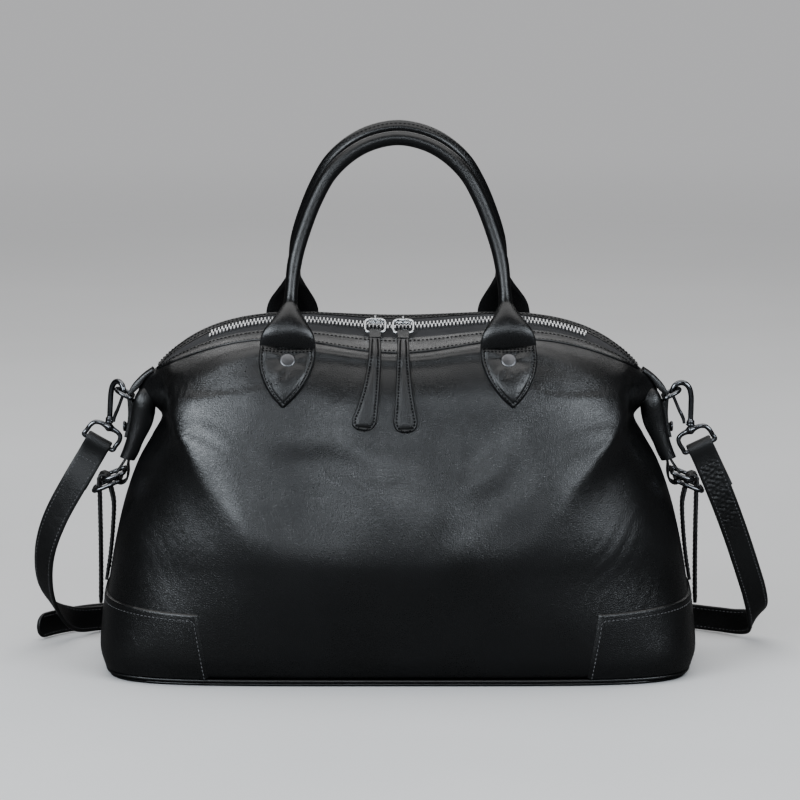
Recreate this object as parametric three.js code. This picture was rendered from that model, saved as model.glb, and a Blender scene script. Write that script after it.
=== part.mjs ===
// Soft zip-top leather handbag: winged ends, two rolled handles, side cinch belts, shoulder strap.
// Millimetres, +Z up, +X to the right as seen from the front, +Y towards the back.
// The origin is the middle of the base, on the surface that the bag stands on.

import * as THREE from 'three';

// Driving dimensions
const GAP = 0.3;               // clearance between pieces that lie on each other
const WALL = 2;                // leather of the body
const SEAM_GAP = 0.15;         // half the clearance at the end seams
const BASE_THICK = 2.2;
const BASE_HALF = { x: 197.5, y: 78.5, fullness: 5 };
const WELT_RADIUS = 1.2;
const PATCH_THICK = 1.2;
const PATCH_LIFT = 0.7;        // patch and tabs above the smooth skin
const TAB_LIFT = 0.85;
const ZIP_RISE = 5;            // crown of the zip above the mean of the two top edges
const TAPE_SHARE = 0.3;        // zip tape's share of the mouth's half-depth
const FACING_THICK = 1.6;
const TAPE_THICK = 1;
const CHAIN = { reach: 0.32, halfWidth: 3.2, height: 2.4 };
const HANDLE_RADIUS = 4.9;
const TAB_THICK = 2;           // leaf-shaped handle tabs
const TAB_X = 73.5;            // handle legs and tabs from the middle
const TAB_TIP_X = 76.5;
const RIVET = { radius: 5.5, height: 1.8 };
const TAB_RIVET = { radius: 3.6, height: 1.4 };
const PULL_THICK = 2.2;
const PULL_LIFT = 1;
const STRAP_WIDTH = 18;
const STRAP_THICK = 2.4;
const BELT_WIDTH = 16;
const BELT_THICK = 2;
const HOLDER_THICK = 1.4;
const D_RING = { wire: 1.5, halfWidth: 9, roundness: 2.3, reach: 11.8, rise: 25.4 };
const SIDE_RING = { wire: 1.5, halfWidth: 11.5, roundness: 5 };
const HOOK = { wire: 1.9, barrel: 2.8 };
const LOOP = { wire: 1.6, halfWidth: 11.3, length: 12.7, knob: 3.1 };
const BUCKLE = { wire: 1.6, halfLength: 11, halfHeight: 11.2, x: 30, y: 101.5, z: 13.1 };
const KEEPER = { x: -45, length: 10, thick: 1.5 };

// Body sections from the base to the top edge.
// zs: height at the end seam; zf, zb: height at the middle of the front and the back;
// hw: half-width at the end seam; nf, nb: how far its nose stands out from the front and back corner;
// nd: half-depth of the nose; df, db: half-depth of front and back; p, q: fullness of the outline;
// ease: extra depth spread evenly round the outline; k: how late the height falls towards the end;
// lf, lb: rise between the middle and the end, where the handles hold the edge up.
const BODY = [
  { zs: 5.2, zf: 5.2, zb: 5.2, hw: 198, nf: 0, nb: 0, nd: 20,
    df: 79, db: 79, p: 5, q: 0.2, ease: 0, k: 3, lf: 0, lb: 0 },
  { zs: 20, zf: 20, zb: 20, hw: 201.5, nf: 0, nb: 0, nd: 20,
    df: 84, db: 83, p: 4.5, q: 0.222, ease: 0, k: 3, lf: 0, lb: 0 },
  { zs: 49, zf: 47, zb: 47, hw: 199, nf: 0, nb: 0, nd: 20,
    df: 88, db: 86, p: 3.7, q: 0.27, ease: 0, k: 3, lf: 0, lb: 0 },
  { zs: 83, zf: 82, zb: 82, hw: 194, nf: 0, nb: 0, nd: 20,
    df: 89, db: 86, p: 3.2, q: 0.312, ease: 0, k: 3, lf: 0, lb: 0 },
  { zs: 113, zf: 113, zb: 114, hw: 187.5, nf: 3, nb: 1, nd: 20,
    df: 86, db: 84, p: 3.1, q: 0.323, ease: 0, k: 3, lf: 0, lb: 0 },
  { zs: 140, zf: 146, zb: 147, hw: 178, nf: 7, nb: 2, nd: 19,
    df: 80, db: 80, p: 3.4, q: 0.294, ease: 0, k: 3, lf: 1, lb: 0 },
  { zs: 158, zf: 174, zb: 176, hw: 168, nf: 9, nb: 2, nd: 18,
    df: 74, db: 75, p: 4.2, q: 0.238, ease: 0, k: 3.4, lf: 2, lb: 0 },
  { zs: 172, zf: 196, zb: 200, hw: 161.5, nf: 9, nb: 1, nd: 17,
    df: 67, db: 69, p: 5.2, q: 0.192, ease: 0, k: 4, lf: 4, lb: 1 },
  { zs: 188, zf: 211, zb: 219, hw: 178, nf: 27, nb: 12, nd: 16,
    df: 58, db: 60, p: 5.8, q: 0.172, ease: 0, k: 5, lf: 6, lb: 2 },
  { zs: 198, zf: 218, zb: 228, hw: 172.5, nf: 15, nb: 8, nd: 16,
    df: 52, db: 52, p: 3.6, q: 0.3, ease: 2, k: 5.6, lf: 8, lb: 3 },
  { zs: 203, zf: 221, zb: 233, hw: 165, nf: 0, nb: 0, nd: 16,
    df: 41, db: 41, p: 2, q: 0.5, ease: 5, k: 6.2, lf: 8.5, lb: 3 },
];
const TOP = BODY.length - 1;
const PANEL_ROWS = [0, 1, 2, 3, 4, 5, 6, 7, 7.5, 8, 8.5, 9, TOP];
const HALF_COLUMNS = 16;       // panel columns from the middle to an end seam
const END_CROWDING = 2.2;      // how strongly the columns crowd towards the end seam

// Soft dents and swells of the panels: side -1 is the front, rx, rz: half-sizes, depth: inwards.
const FOLDS = [
  { side: -1, x: 0, z: 158, rx: 88, rz: 36, depth: 5 },
  { side: -1, x: 0, z: 92, rx: 120, rz: 34, depth: -3 },
  { side: -1, x: -118, z: 118, rx: 26, rz: 62, depth: -3 },
  { side: -1, x: 118, z: 118, rx: 26, rz: 62, depth: -3 },
  { side: -1, x: -165, z: 120, rx: 22, rz: 40, depth: 3 },
  { side: -1, x: 165, z: 120, rx: 22, rz: 40, depth: 3 },
  { side: 1, x: 0, z: 150, rx: 100, rz: 44, depth: 6 },
  { side: 1, x: -60, z: 80, rx: 60, rz: 40, depth: -2 },
];

// Rolled handle from the narrow neck above its tab to the top: height as a share, half-width.
const HANDLE_ARCH = [
  { rise: 0, halfWidth: 72 },
  { rise: 0.255, halfWidth: 69 },
  { rise: 0.473, halfWidth: 62 },
  { rise: 0.64, halfWidth: 54.5 },
  { rise: 0.782, halfWidth: 45.5 },
  { rise: 0.9, halfWidth: 32 },
  { rise: 0.97, halfWidth: 17.5 },
];
// Front and back handle: seat height of the bell, neck and top heights, lean of neck and top.
const HANDLES = [
  { name: 'front', side: -1, seatZ: 224.5, neckZ: 254, topZ: 362.8, neckY: 43, topY: 20 },
  { name: 'back', side: 1, seatZ: 231.5, neckZ: 262, topZ: 366.8, neckY: 43, topY: 17 },
];
// Bell at the foot of a handle: share of the way from seat to neck, half-width, half-thickness.
const BELL = [
  { share: 0, halfWidth: 14.5, halfThick: 1.4 },
  { share: 0.22, halfWidth: 15.8, halfThick: 2.2 },
  { share: 0.5, halfWidth: 12.4, halfThick: 3.6 },
  { share: 0.76, halfWidth: 7.2, halfThick: 4.6 },
];
// Leaf-shaped tab: share of its length, half-width.
const LEAF = [
  { share: 0, halfWidth: 18.6 },
  { share: 0.05, halfWidth: 18.7 },
  { share: 0.12, halfWidth: 18.8 },
  { share: 0.24, halfWidth: 18.7 },
  { share: 0.42, halfWidth: 17 },
  { share: 0.64, halfWidth: 13 },
  { share: 0.84, halfWidth: 7.2 },
  { share: 1, halfWidth: 0.9 },
];
const LEAF_LENGTH = 38;
const RIVET_DROP = 8.2;        // rivet centre below the bell's seat

// Leather zip pulls: way over the facing (1 is the top edge), drop below that edge, half-width.
const PULL_ROWS = [
  { over: 0.3, down: 0, halfWidth: 3.9 },
  { over: 0.65, down: 0, halfWidth: 4 },
  { over: 0.94, down: 0, halfWidth: 4.1 },
  { over: 1, down: 1.2, halfWidth: 4.2 },
  { over: 1, down: 3, halfWidth: 4.3 },
  { over: 1, down: 5.5, halfWidth: 4.5 },
  { over: 1, down: 9.5, halfWidth: 4.7 },
  { over: 1, down: 18, halfWidth: 5.3 },
  { over: 1, down: 28, halfWidth: 6.2 },
  { over: 1, down: 37, halfWidth: 7.4 },
  { over: 1, down: 43, halfWidth: 8 },
  { over: 1, down: 47, halfWidth: 6.6 },
  { over: 1, down: 49, halfWidth: 3.2 },
];
const PULLS = [
  { name: 'left', sliderX: -15.5, drift: -8.5 },
  { name: 'right', sliderX: 3.5, drift: 1.8 },
];

// End hardware, drawn for the right end in the X-Z plane at Y = 0 and mirrored for the left end.
const D_BAR = { x: 181.5, z: 184 };
const SIDE_TAB = [
  { x: 172.6, z: 180, halfThick: 6.5, halfWidth: 12, slope: 0.6 },
  { x: 174, z: 173, halfThick: 7.2, halfWidth: 11.6, slope: 0.4 },
  { x: 175.6, z: 166, halfThick: 7, halfWidth: 11, slope: 0.25 },
  { x: 180, z: 154, halfThick: 5.4, halfWidth: 10.5, slope: 0.25 },
  { x: 182.6, z: 147, halfThick: 5.2, halfWidth: 10.2, slope: 0.25 },
  { x: 185, z: 142, halfThick: 4.9, halfWidth: 10, slope: 0.25 },
];
const D_HOLDER = [
  { x: 167.2, z: 203.6 }, { x: 172.9, z: 199.6 }, { x: 178.2, z: 194.6 }, { x: 182.2, z: 189.8 },
  { x: 184.1, z: 185.4 }, { x: 183.6, z: 180 }, { x: 183.4, z: 173 }, { x: 184.2, z: 166 },
  { x: 186.3, z: 157 },
];
const TAB_RIVET_Z = 163.6;
const RING_BARS = { upper: { x: 187.2, z: 133 }, lower: { x: 190.2, z: 127.4 } };
const RING_BOWS = { upper: { x: 201.6, z: 127.6 }, lower: { x: 208.2, z: 119.8 } };
const RING_HOLDER = [
  { x: 178.9, z: 156 }, { x: 181.6, z: 148 }, { x: 184, z: 142 }, { x: 184.8, z: 137 }, { x: 184.7, z: 132 },
  { x: 186.1, z: 126.4 }, { x: 189.9, z: 124.5 }, { x: 193.3, z: 126.9 }, { x: 192.5, z: 131.4 },
  { x: 189.3, z: 136.5 }, { x: 185.9, z: 142 }, { x: 183.3, z: 148 }, { x: 180.8, z: 156 },
];
const BELT_ROOT = [
  { x: 200.3, z: 57.8 }, { x: 197.6, z: 75 }, { x: 195.6, z: 95 }, { x: 195, z: 112 }, { x: 196.8, z: 121 },
];
const BELT_TAIL = [
  { x: 204.6, z: 122.5 }, { x: 204.4, z: 110 }, { x: 204.2, z: 85 }, { x: 204.3, z: 60 }, { x: 204.6, z: 40 },
];
// Snap hook in its own plane: a is towards the outside, b is up the stem from the swivel.
const HOOK_PATH = [
  { a: 0, b: 3.5, wide: 1 }, { a: 0, b: 7, wide: 1 }, { a: 0, b: 8.5, wide: 0 }, { a: 0.2, b: 16, wide: 0 },
  { a: 0, b: 25, wide: 0 }, { a: -1.4, b: 29.6, wide: 0 }, { a: -4.2, b: 32.3, wide: 0 },
  { a: -7.4, b: 32.8, wide: 0 }, { a: -10.6, b: 31.3, wide: 0 }, { a: -12.6, b: 28.2, wide: 0 },
  { a: -12.9, b: 24, wide: 0 },
];
const GATE_PATH = [
  { a: -4.4, b: 4.6, radius: 1 }, { a: -4.8, b: 7.4, radius: 1.6 }, { a: -6.4, b: 11, radius: 1.6 },
  { a: -7.6, b: 13.4, radius: 1.2 }, { a: -11.8, b: 21, radius: 1.1 },
];
const SWIVEL = { x: 200, z: 160.8 };
// Ends: mirror, tilt of the strap's loop, place of the hook's foot from the swivel's usual place,
// lean of the hook's stem towards the bag, twist of the hook.
const ENDS = [
  { name: 'right', mirror: 1, loopTilt: 25.5, foot: { x: 0, y: 0, z: 0 }, lean: 0, twist: 0 },
  { name: 'left', mirror: -1, loopTilt: 30, foot: { x: -2, y: 6, z: 1 }, lean: 4, twist: 45 },
];

// Shoulder strap beyond its fold at each end, mirrored like the hardware.
// x, y, z: middle of the strap; wx, wy, wz: direction from the edge next to the bag to the outer edge.
const STRAP_RIGHT = [
  { x: 222, y: 2.5, z: 115, wx: 0.92, wy: 0.08, wz: 0.4 },
  { x: 232.5, y: 14, z: 88, wx: 0.91, wy: 0.12, wz: 0.4 },
  { x: 243, y: 28, z: 58, wx: 0.93, wy: 0.14, wz: 0.34 },
  { x: 249.5, y: 40, z: 38, wx: 0.92, wy: 0.2, wz: 0.34 },
  { x: 252.5, y: 50, z: 23, wx: 0.78, wy: 0.3, wz: 0.55 },
  { x: 250.5, y: 60, z: 14, wx: 0.45, wy: 0.25, wz: 0.86 },
  { x: 242, y: 70, z: 10.6, wx: 0.12, wy: 0.06, wz: 0.99 },
  { x: 228, y: 81, z: 9.8, wx: 0, wy: 0, wz: 1 },
  { x: 207, y: 93, z: 9.6, wx: 0, wy: 0, wz: 1 },
  { x: 170, y: 99.6, z: 9.8, wx: 0, wy: 0, wz: 1 },
  { x: 110, y: 100, z: 10.6, wx: 0, wy: 0, wz: 1 },
  { x: 60, y: 98.6, z: 12.6, wx: 0, wy: 0, wz: 1 },
  { x: 41, y: 98.3, z: 13, wx: 0, wy: 0, wz: 1 },
  { x: 31, y: 102, z: 13, wx: 0, wy: 0, wz: 1 },
  { x: 20, y: 107.5, z: 13, wx: 0, wy: 0, wz: 1 },
  { x: 0, y: 107.7, z: 13, wx: 0, wy: 0, wz: 1 },
  { x: -45, y: 106, z: 12, wx: 0, wy: 0, wz: 1 },
  { x: -100, y: 104.6, z: 10.2, wx: 0, wy: 0, wz: 1 },
  { x: -150, y: 104.2, z: 9.7, wx: 0, wy: 0, wz: 1 },
  { x: -190, y: 101, z: 9.6, wx: 0, wy: 0, wz: 1 },
  { x: -216, y: 93, z: 9.6, wx: 0, wy: 0, wz: 1 },
  { x: -234, y: 81.5, z: 9.6, wx: 0, wy: 0, wz: 1 },
  { x: -246, y: 69, z: 9.6, wx: 0, wy: 0, wz: 1 },
  { x: -254, y: 57, z: 9.6, wx: 0, wy: 0, wz: 1 },
];
const STRAP_LEFT = [
  { x: 222, y: 0.5, z: 124, wx: 0.85, wy: 0.1, wz: 0.5 },
  { x: 236, y: 5, z: 98, wx: 0.84, wy: 0.3, wz: 0.45 },
  { x: 244.5, y: 14, z: 72, wx: 0.75, wy: 0.55, wz: 0.32 },
  { x: 245.5, y: 28, z: 46, wx: 0.66, wy: 0.6, wz: 0.45 },
  { x: 239.5, y: 47, z: 25, wx: 0.5, wy: 0.5, wz: 0.7 },
  { x: 228.5, y: 66, z: 13.4, wx: 0.22, wy: 0.2, wz: 0.95 },
  { x: 213, y: 84, z: 10, wx: 0, wy: 0, wz: 1 },
  { x: 190, y: 95.5, z: 9.6, wx: 0, wy: 0, wz: 1 },
  { x: 150, y: 100.2, z: 9.7, wx: 0, wy: 0, wz: 1 },
  { x: 100, y: 101, z: 10.2, wx: 0, wy: 0, wz: 1 },
  { x: 45, y: 101.6, z: 12, wx: 0, wy: 0, wz: 1 },
  { x: 2, y: 98.7, z: 13, wx: 0, wy: 0, wz: 1 },
];

// Materials
const LEATHER = { color: 0x16171a, roughness: 0.42, metalness: 0 };
const GUNMETAL = { color: 0x55585c, roughness: 0.25, metalness: 1 };
const TAPE = { color: 0x1b1b1d, roughness: 0.9, metalness: 0 };

const point = (x, y, z) => new THREE.Vector3(x, y, z);
const radians = THREE.MathUtils.degToRad;
const lerp = THREE.MathUtils.lerp;

// Value of a table's column at a fractional row, smooth and without overshoot.
function column(table, name, at) {
  const last = table.length - 1;
  const i = Math.min(Math.max(Math.floor(at), 0), last - 1);
  const t = at - i;
  const step = (j) => table[j + 1][name] - table[j][name];
  const slope = (j) => {
    if (j === 0 || j === last) {
      return step(j === 0 ? 0 : last - 1);
    }
    const before = step(j - 1);
    const after = step(j);
    return before * after <= 0 ? 0 : (2 * before * after) / (before + after);
  };
  const t2 = t * t;
  const t3 = t2 * t;
  return table[i][name] * (2 * t3 - 3 * t2 + 1) + slope(i) * (t3 - 2 * t2 + t)
    + table[i + 1][name] * (3 * t2 - 2 * t3) + slope(i + 1) * (t3 - t2);
}

// Point of the body's outer skin: side -1 front or 1 back, s from -1 to 1 across, v rows up.
function skin(side, s, v) {
  const at = (name) => column(BODY, name, v);
  const front = side < 0;
  const across = Math.sin((Math.PI / 2) * (1 - (1 - Math.abs(s)) ** END_CROWDING));
  const ease = at('ease') * (1 - Math.abs(s));
  const depth = at(front ? 'df' : 'db') * Math.max(1 - across ** at('p'), 0) ** at('q') + ease;
  const nose = at(front ? 'nf' : 'nb');
  const reach = nose * Math.exp(-((depth / at('nd')) ** 2));
  const x = Math.sign(s) * ((at('hw') - nose) * across + reach);
  const middle = at(front ? 'zf' : 'zb');
  const lift = at(front ? 'lf' : 'lb') * Math.sin(Math.PI * across) ** 2;
  const z = middle + (at('zs') - middle) * across ** at('k') + lift;
  let dent = 0;
  for (const fold of FOLDS) {
    if (fold.side === side) {
      dent += fold.depth * Math.exp(-(((x - fold.x) / fold.rx) ** 2) - ((z - fold.z) / fold.rz) ** 2);
    }
  }
  const fade = 1 - across ** 8;
  return point(x, side * (depth - dent * fade), z);
}

// Outward normal of the skin.
function skinNormal(side, s, v) {
  const h = 1e-3;
  const s0 = Math.max(s - h, -1);
  const s1 = Math.min(s + h, 1);
  const v0 = Math.max(v - h, 0);
  const v1 = Math.min(v + h, TOP);
  const alongS = skin(side, s1, v).sub(skin(side, s0, v));
  const alongV = skin(side, s, v1).sub(skin(side, s, v0));
  const normal = alongS.cross(alongV).multiplyScalar(-side);
  if (Math.abs(s) > 1 - 1e-6) {
    normal.y = 0;
  }
  return normal.normalize();
}

// Root of a rising function between two bounds.
function solve(rising, low, high) {
  for (let i = 0; i < 36; i += 1) {
    const mid = (low + high) / 2;
    if (rising(mid) < 0) {
      low = mid;
    } else {
      high = mid;
    }
  }
  return (low + high) / 2;
}

// Where the skin has a given X on row v, and where it has a given X and Z.
const sAtX = (side, x, v) => solve((s) => skin(side, s, v).x - x, -1, 1);
function skinAt(side, x, z) {
  const v = solve((row) => skin(side, sAtX(side, x, row), row).z - z, 0, TOP);
  const s = sAtX(side, x, v);
  return { at: skin(side, s, v), normal: skinNormal(side, s, v) };
}

// Closed mesh from points and polygons, turned so that its faces point outwards.
function closedGeometry(points, polygons) {
  const index = [];
  for (const polygon of polygons) {
    for (let i = 1; i < polygon.length - 1; i += 1) {
      index.push(polygon[0], polygon[i], polygon[i + 1]);
    }
  }
  let volume = 0;
  for (let i = 0; i < index.length; i += 3) {
    const [a, b, c] = [points[index[i]], points[index[i + 1]], points[index[i + 2]]];
    volume += a.dot(b.clone().cross(c));
  }
  if (volume < 0) {
    index.reverse();
  }
  const geometry = new THREE.BufferGeometry();
  const numbers = points.flatMap((q) => [q.x, q.y, q.z]);
  geometry.setAttribute('position', new THREE.Float32BufferAttribute(numbers, 3));
  geometry.setIndex(index);
  geometry.computeVertexNormals();
  return geometry;
}

// Loft through rings of points; ring: the rings close into a loop, otherwise both ends are capped.
function loft(rings, ring = false) {
  const sides = rings[0].length;
  const points = rings.flat();
  const polygons = [];
  const spans = ring ? rings.length : rings.length - 1;
  for (let i = 0; i < spans; i += 1) {
    const a = i * sides;
    const b = ((i + 1) % rings.length) * sides;
    for (let j = 0; j < sides; j += 1) {
      const k = (j + 1) % sides;
      polygons.push([a + j, a + k, b + k, b + j]);
    }
  }
  if (!ring) {
    const last = (rings.length - 1) * sides;
    polygons.push(Array.from({ length: sides }, (_, j) => sides - 1 - j));
    polygons.push(Array.from({ length: sides }, (_, j) => last + j));
  }
  return closedGeometry(points, polygons);
}

// Sheet with thickness from two grids of points, outer and inner, both [row][column].
// Its quads are split alike on both sides of the middle column; flipped: split the other way.
function sheet(outer, inner, flipped = 0) {
  const rows = outer.length;
  const columns = outer[0].length;
  const points = [...outer.flat(), ...inner.flat()];
  const top = (i, j) => i * columns + j;
  const under = (i, j) => rows * columns + i * columns + j;
  const polygons = [];
  for (let i = 0; i < rows - 1; i += 1) {
    for (let j = 0; j < columns - 1; j += 1) {
      const over = [top(i, j), top(i, j + 1), top(i + 1, j + 1), top(i + 1, j)];
      const below = [under(i, j), under(i, j + 1), under(i + 1, j + 1), under(i + 1, j)];
      const flip = (j < (columns - 1) / 2) === (flipped === 0);
      polygons.push(flip ? [...over.slice(1), over[0]] : over);
      polygons.push((flip ? [...below.slice(1), below[0]] : below).reverse());
    }
  }
  for (let j = 0; j < columns - 1; j += 1) {
    polygons.push([top(0, j), under(0, j), under(0, j + 1), top(0, j + 1)]);
    const last = rows - 1;
    polygons.push([top(last, j), top(last, j + 1), under(last, j + 1), under(last, j)]);
  }
  for (let i = 0; i < rows - 1; i += 1) {
    polygons.push([top(i, 0), top(i + 1, 0), under(i + 1, 0), under(i, 0)]);
    const last = columns - 1;
    polygons.push([top(i, last), under(i, last), under(i + 1, last), top(i + 1, last)]);
  }
  return closedGeometry(points, polygons);
}

// Direction of a path at one of its points.
function tangentAt(path, i, ring = false) {
  const n = path.length;
  const before = ring ? path[(i - 1 + n) % n] : path[Math.max(i - 1, 0)];
  const after = ring ? path[(i + 1) % n] : path[Math.min(i + 1, n - 1)];
  return after.clone().sub(before).normalize();
}

// Round wire along a flat path; normal is square to the path's plane, radius may change along it.
function wire(path, normal, radius, sides, ring = false) {
  const rings = path.map((at, i) => {
    const outward = tangentAt(path, i, ring).cross(normal).normalize();
    const size = typeof radius === 'function' ? radius(i) : radius;
    return Array.from({ length: sides }, (_, j) => {
      const turn = ((j + 0.5) / sides) * 2 * Math.PI;
      return at.clone()
        .addScaledVector(outward, size * Math.cos(turn))
        .addScaledVector(normal, size * Math.sin(turn));
    });
  });
  return loft(rings, ring);
}

// Flat leather strip along a path; widths holds its half-width vectors.
function strip(path, widths, thick) {
  const rings = path.map((at, i) => {
    const along = tangentAt(path, i);
    const half = widths[i];
    const up = along.cross(half).normalize().multiplyScalar(thick / 2);
    return [
      at.clone().add(half).add(up), at.clone().sub(half).add(up),
      at.clone().sub(half).sub(up), at.clone().add(half).sub(up),
    ];
  });
  return loft(rings);
}

// Strip in the plane Y = 0 through X-Z rows, resampled smoothly.
function sideStrip(rows, halfWidth, thick, steps) {
  const places = rows.map((row) => point(row.x, 0, row.z));
  const path = new THREE.CatmullRomCurve3(places, false, 'centripetal').getPoints(steps);
  return strip(path, path.map(() => point(0, halfWidth, 0)), thick);
}

// Geometry mirrored to the other end when mirror is -1.
function toEnd(geometry, mirror) {
  if (mirror > 0) {
    return geometry;
  }
  const source = geometry.getAttribute('position');
  const mirrored = (i) => point(-source.getX(i), source.getY(i), source.getZ(i));
  const points = Array.from({ length: source.count }, (_, i) => mirrored(i));
  const index = Array.from(geometry.getIndex().array);
  const polygons = Array.from({ length: index.length / 3 }, (_, i) => index.slice(3 * i, 3 * i + 3));
  return closedGeometry(points, polygons);
}

const bag = new THREE.Group();

// Adds a named piece with a material of its own.
function addPiece(name, geometry, finish) {
  const mesh = new THREE.Mesh(geometry, new THREE.MeshStandardMaterial(finish));
  mesh.name = name;
  bag.add(mesh);
  return mesh;
}

// Columns of a panel from end seam to end seam.
function panelColumns() {
  return Array.from({ length: 2 * HALF_COLUMNS + 1 }, (_, j) => j / HALF_COLUMNS - 1);
}

// Front and back panels: the skin and its inside face, open at the mouth.
function panel(side) {
  const columns = panelColumns();
  const outer = [];
  const inner = [];
  for (const v of PANEL_ROWS) {
    const outerRow = [];
    const innerRow = [];
    for (const s of columns) {
      const at = skin(side, s, v).add(point(0, side * SEAM_GAP, 0));
      outerRow.push(at);
      innerRow.push(at.clone().addScaledVector(skinNormal(side, s, v), -WALL));
    }
    outer.push(outerRow);
    inner.push(innerRow);
  }
  return sheet(outer, inner);
}

// Base: a flat panel with rounded ends, and the welt that runs round it.
function baseOutline(grow, z, count) {
  return Array.from({ length: count }, (_, i) => {
    const turn = (i / count) * 2 * Math.PI;
    const round = 2 / BASE_HALF.fullness;
    const x = (BASE_HALF.x + grow) * Math.sign(Math.cos(turn)) * Math.abs(Math.cos(turn)) ** round;
    const y = (BASE_HALF.y + grow) * Math.sign(Math.sin(turn)) * Math.abs(Math.sin(turn)) ** round;
    return point(x, y, z);
  });
}

function basePanel() {
  return loft([baseOutline(0, 0, 40), baseOutline(0, BASE_THICK, 40)]);
}

function baseWelt() {
  const z = BASE_THICK + GAP + WELT_RADIUS;
  return wire(baseOutline(0.8, z, 40), point(0, 0, 1), WELT_RADIUS, 4, true);
}

// Corner patch: a second layer over the lower end, from the front round to the back.
const PATCH = { frontX: 126, slant: 8, topZ: 49, topRow: 2, endRise: 0.2 };

function cornerPatch() {
  const lift = 0.05;
  const rows = [lift, 1, PATCH.topRow, PATCH.topRow + 0.04];
  const firstColumn = 5;
  const outer = [];
  const inner = [];
  rows.forEach((row, r) => {
    const outerRow = [];
    const innerRow = [];
    const put = (side, s) => {
      const v = r === rows.length - 1 ? row + PATCH.endRise * s : row;
      const at = skin(side, s, v);
      const normal = skinNormal(side, s, v);
      innerRow.push(at.clone().addScaledVector(normal, PATCH_LIFT));
      outerRow.push(at.clone().addScaledVector(normal, PATCH_LIFT + PATCH_THICK));
    };
    const z = skin(-1, 0.3, row).z;
    const edgeX = PATCH.frontX + PATCH.slant * (z / PATCH.topZ);
    put(-1, sAtX(-1, edgeX, row));
    for (let j = firstColumn; j <= HALF_COLUMNS; j += 1) {
      put(-1, j / HALF_COLUMNS);
    }
    for (let j = HALF_COLUMNS - 1; j >= firstColumn; j -= 1) {
      put(1, j / HALF_COLUMNS);
    }
    put(1, sAtX(1, edgeX, row));
    outer.push(outerRow);
    inner.push(innerRow);
  });
  return sheet(outer, inner, 1);
}

// Zip band: height of the zip line, and the edge of a facing next to the panel and next to the tape.
function zipLine(s) {
  const front = skin(-1, s, TOP);
  const back = skin(1, s, TOP);
  const across = Math.abs(front.x) / BODY[TOP].hw;
  return (front.z + back.z) / 2 + ZIP_RISE * (1 - across ** 2);
}

function facingAt(side, s, share) {
  const h = 1e-3;
  const rim = skin(side, s, TOP);
  const onward = rim.clone().sub(skin(side, s, TOP - h)).normalize();
  const seamEdge = rim.clone().addScaledVector(onward, GAP + 0.2).add(point(0, side * SEAM_GAP, 0));
  const tapeEdge = point(rim.x, rim.y * TAPE_SHARE, zipLine(s));
  const up = skinNormal(side, s, TOP).lerp(point(0, 0, 1), share).normalize();
  return { at: seamEdge.lerp(tapeEdge, share), up };
}

const ZIP_COLUMNS = panelColumns().slice(5, -5);

function zipFacing(side) {
  const outer = [];
  const inner = [];
  for (const share of [0, 0.5, 1]) {
    const row = ZIP_COLUMNS.map((s) => facingAt(side, s, share));
    outer.push(row.map(({ at }) => at));
    inner.push(row.map(({ at, up }) => at.clone().addScaledVector(up, -FACING_THICK)));
  }
  return sheet(outer, inner);
}

const TAPE_DROP = 0.6;

function zipTape() {
  const rings = ZIP_COLUMNS.slice(1, -1).map((s) => {
    const half = Math.abs(skin(-1, s, TOP).y) * TAPE_SHARE - GAP - 0.2;
    const x = skin(-1, s, TOP).x;
    const top = zipLine(s) - TAPE_DROP;
    const under = top - TAPE_THICK;
    return [point(x, -half, top), point(x, half, top), point(x, half, under), point(x, -half, under)];
  });
  return loft(rings);
}

function zipChain() {
  const rings = ZIP_COLUMNS.filter((s) => Math.abs(s) <= CHAIN.reach).map((s) => {
    const x = skin(-1, s, TOP).x;
    const low = zipLine(s) - TAPE_DROP + GAP;
    const half = CHAIN.halfWidth;
    return [
      point(x, -half, low), point(x, half, low),
      point(x, half * 0.8, low + CHAIN.height), point(x, -half * 0.8, low + CHAIN.height),
    ];
  });
  return loft(rings);
}

// Zip slider: a waisted block over the chain; its link is a flat wire frame that leans to the front.
const SLIDER = { halfLength: 5.5, halfWidth: 4.4, height: 3.4 };
const LINK = { halfWidth: 6.9, wire: 0.9, back: 1.5, front: -11.5 };

function sliderTop(x) {
  return zipLine(sAtX(-1, x, TOP)) - TAPE_DROP + GAP + CHAIN.height + GAP + 0.8;
}

function zipSlider(x) {
  const low = sliderTop(x);
  const outline = [[-1, 0.75], [0, 1], [1, 0.75], [1, -0.75], [0, -1], [-1, -0.75]];
  const at = (shrink, z) => outline.map(([a, b]) => point(
    x + a * SLIDER.halfLength * shrink, b * SLIDER.halfWidth * shrink, z));
  return loft([at(1, low), at(1, low + SLIDER.height * 0.6), at(0.7, low + SLIDER.height)]);
}

function pullLink(x) {
  const high = sliderTop(x) + SLIDER.height + GAP + LINK.wire + 0.5;
  const low = facingAt(-1, sAtX(-1, x, TOP), 0.85).at.z + 3.2;
  const steps = 12;
  const path = Array.from({ length: steps }, (_, i) => {
    const turn = (i / steps) * 2 * Math.PI;
    const round = (value) => Math.sign(value) * Math.abs(value) ** 0.5;
    const share = (1 + round(Math.sin(turn))) / 2;
    const sideways = LINK.halfWidth * round(Math.cos(turn));
    return point(x + sideways, lerp(LINK.front, LINK.back, share), lerp(low, high, share));
  });
  const lean = point(0, high - low, LINK.front - LINK.back).multiplyScalar(-1).normalize();
  return wire(path, lean, LINK.wire, 5, true);
}

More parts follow.
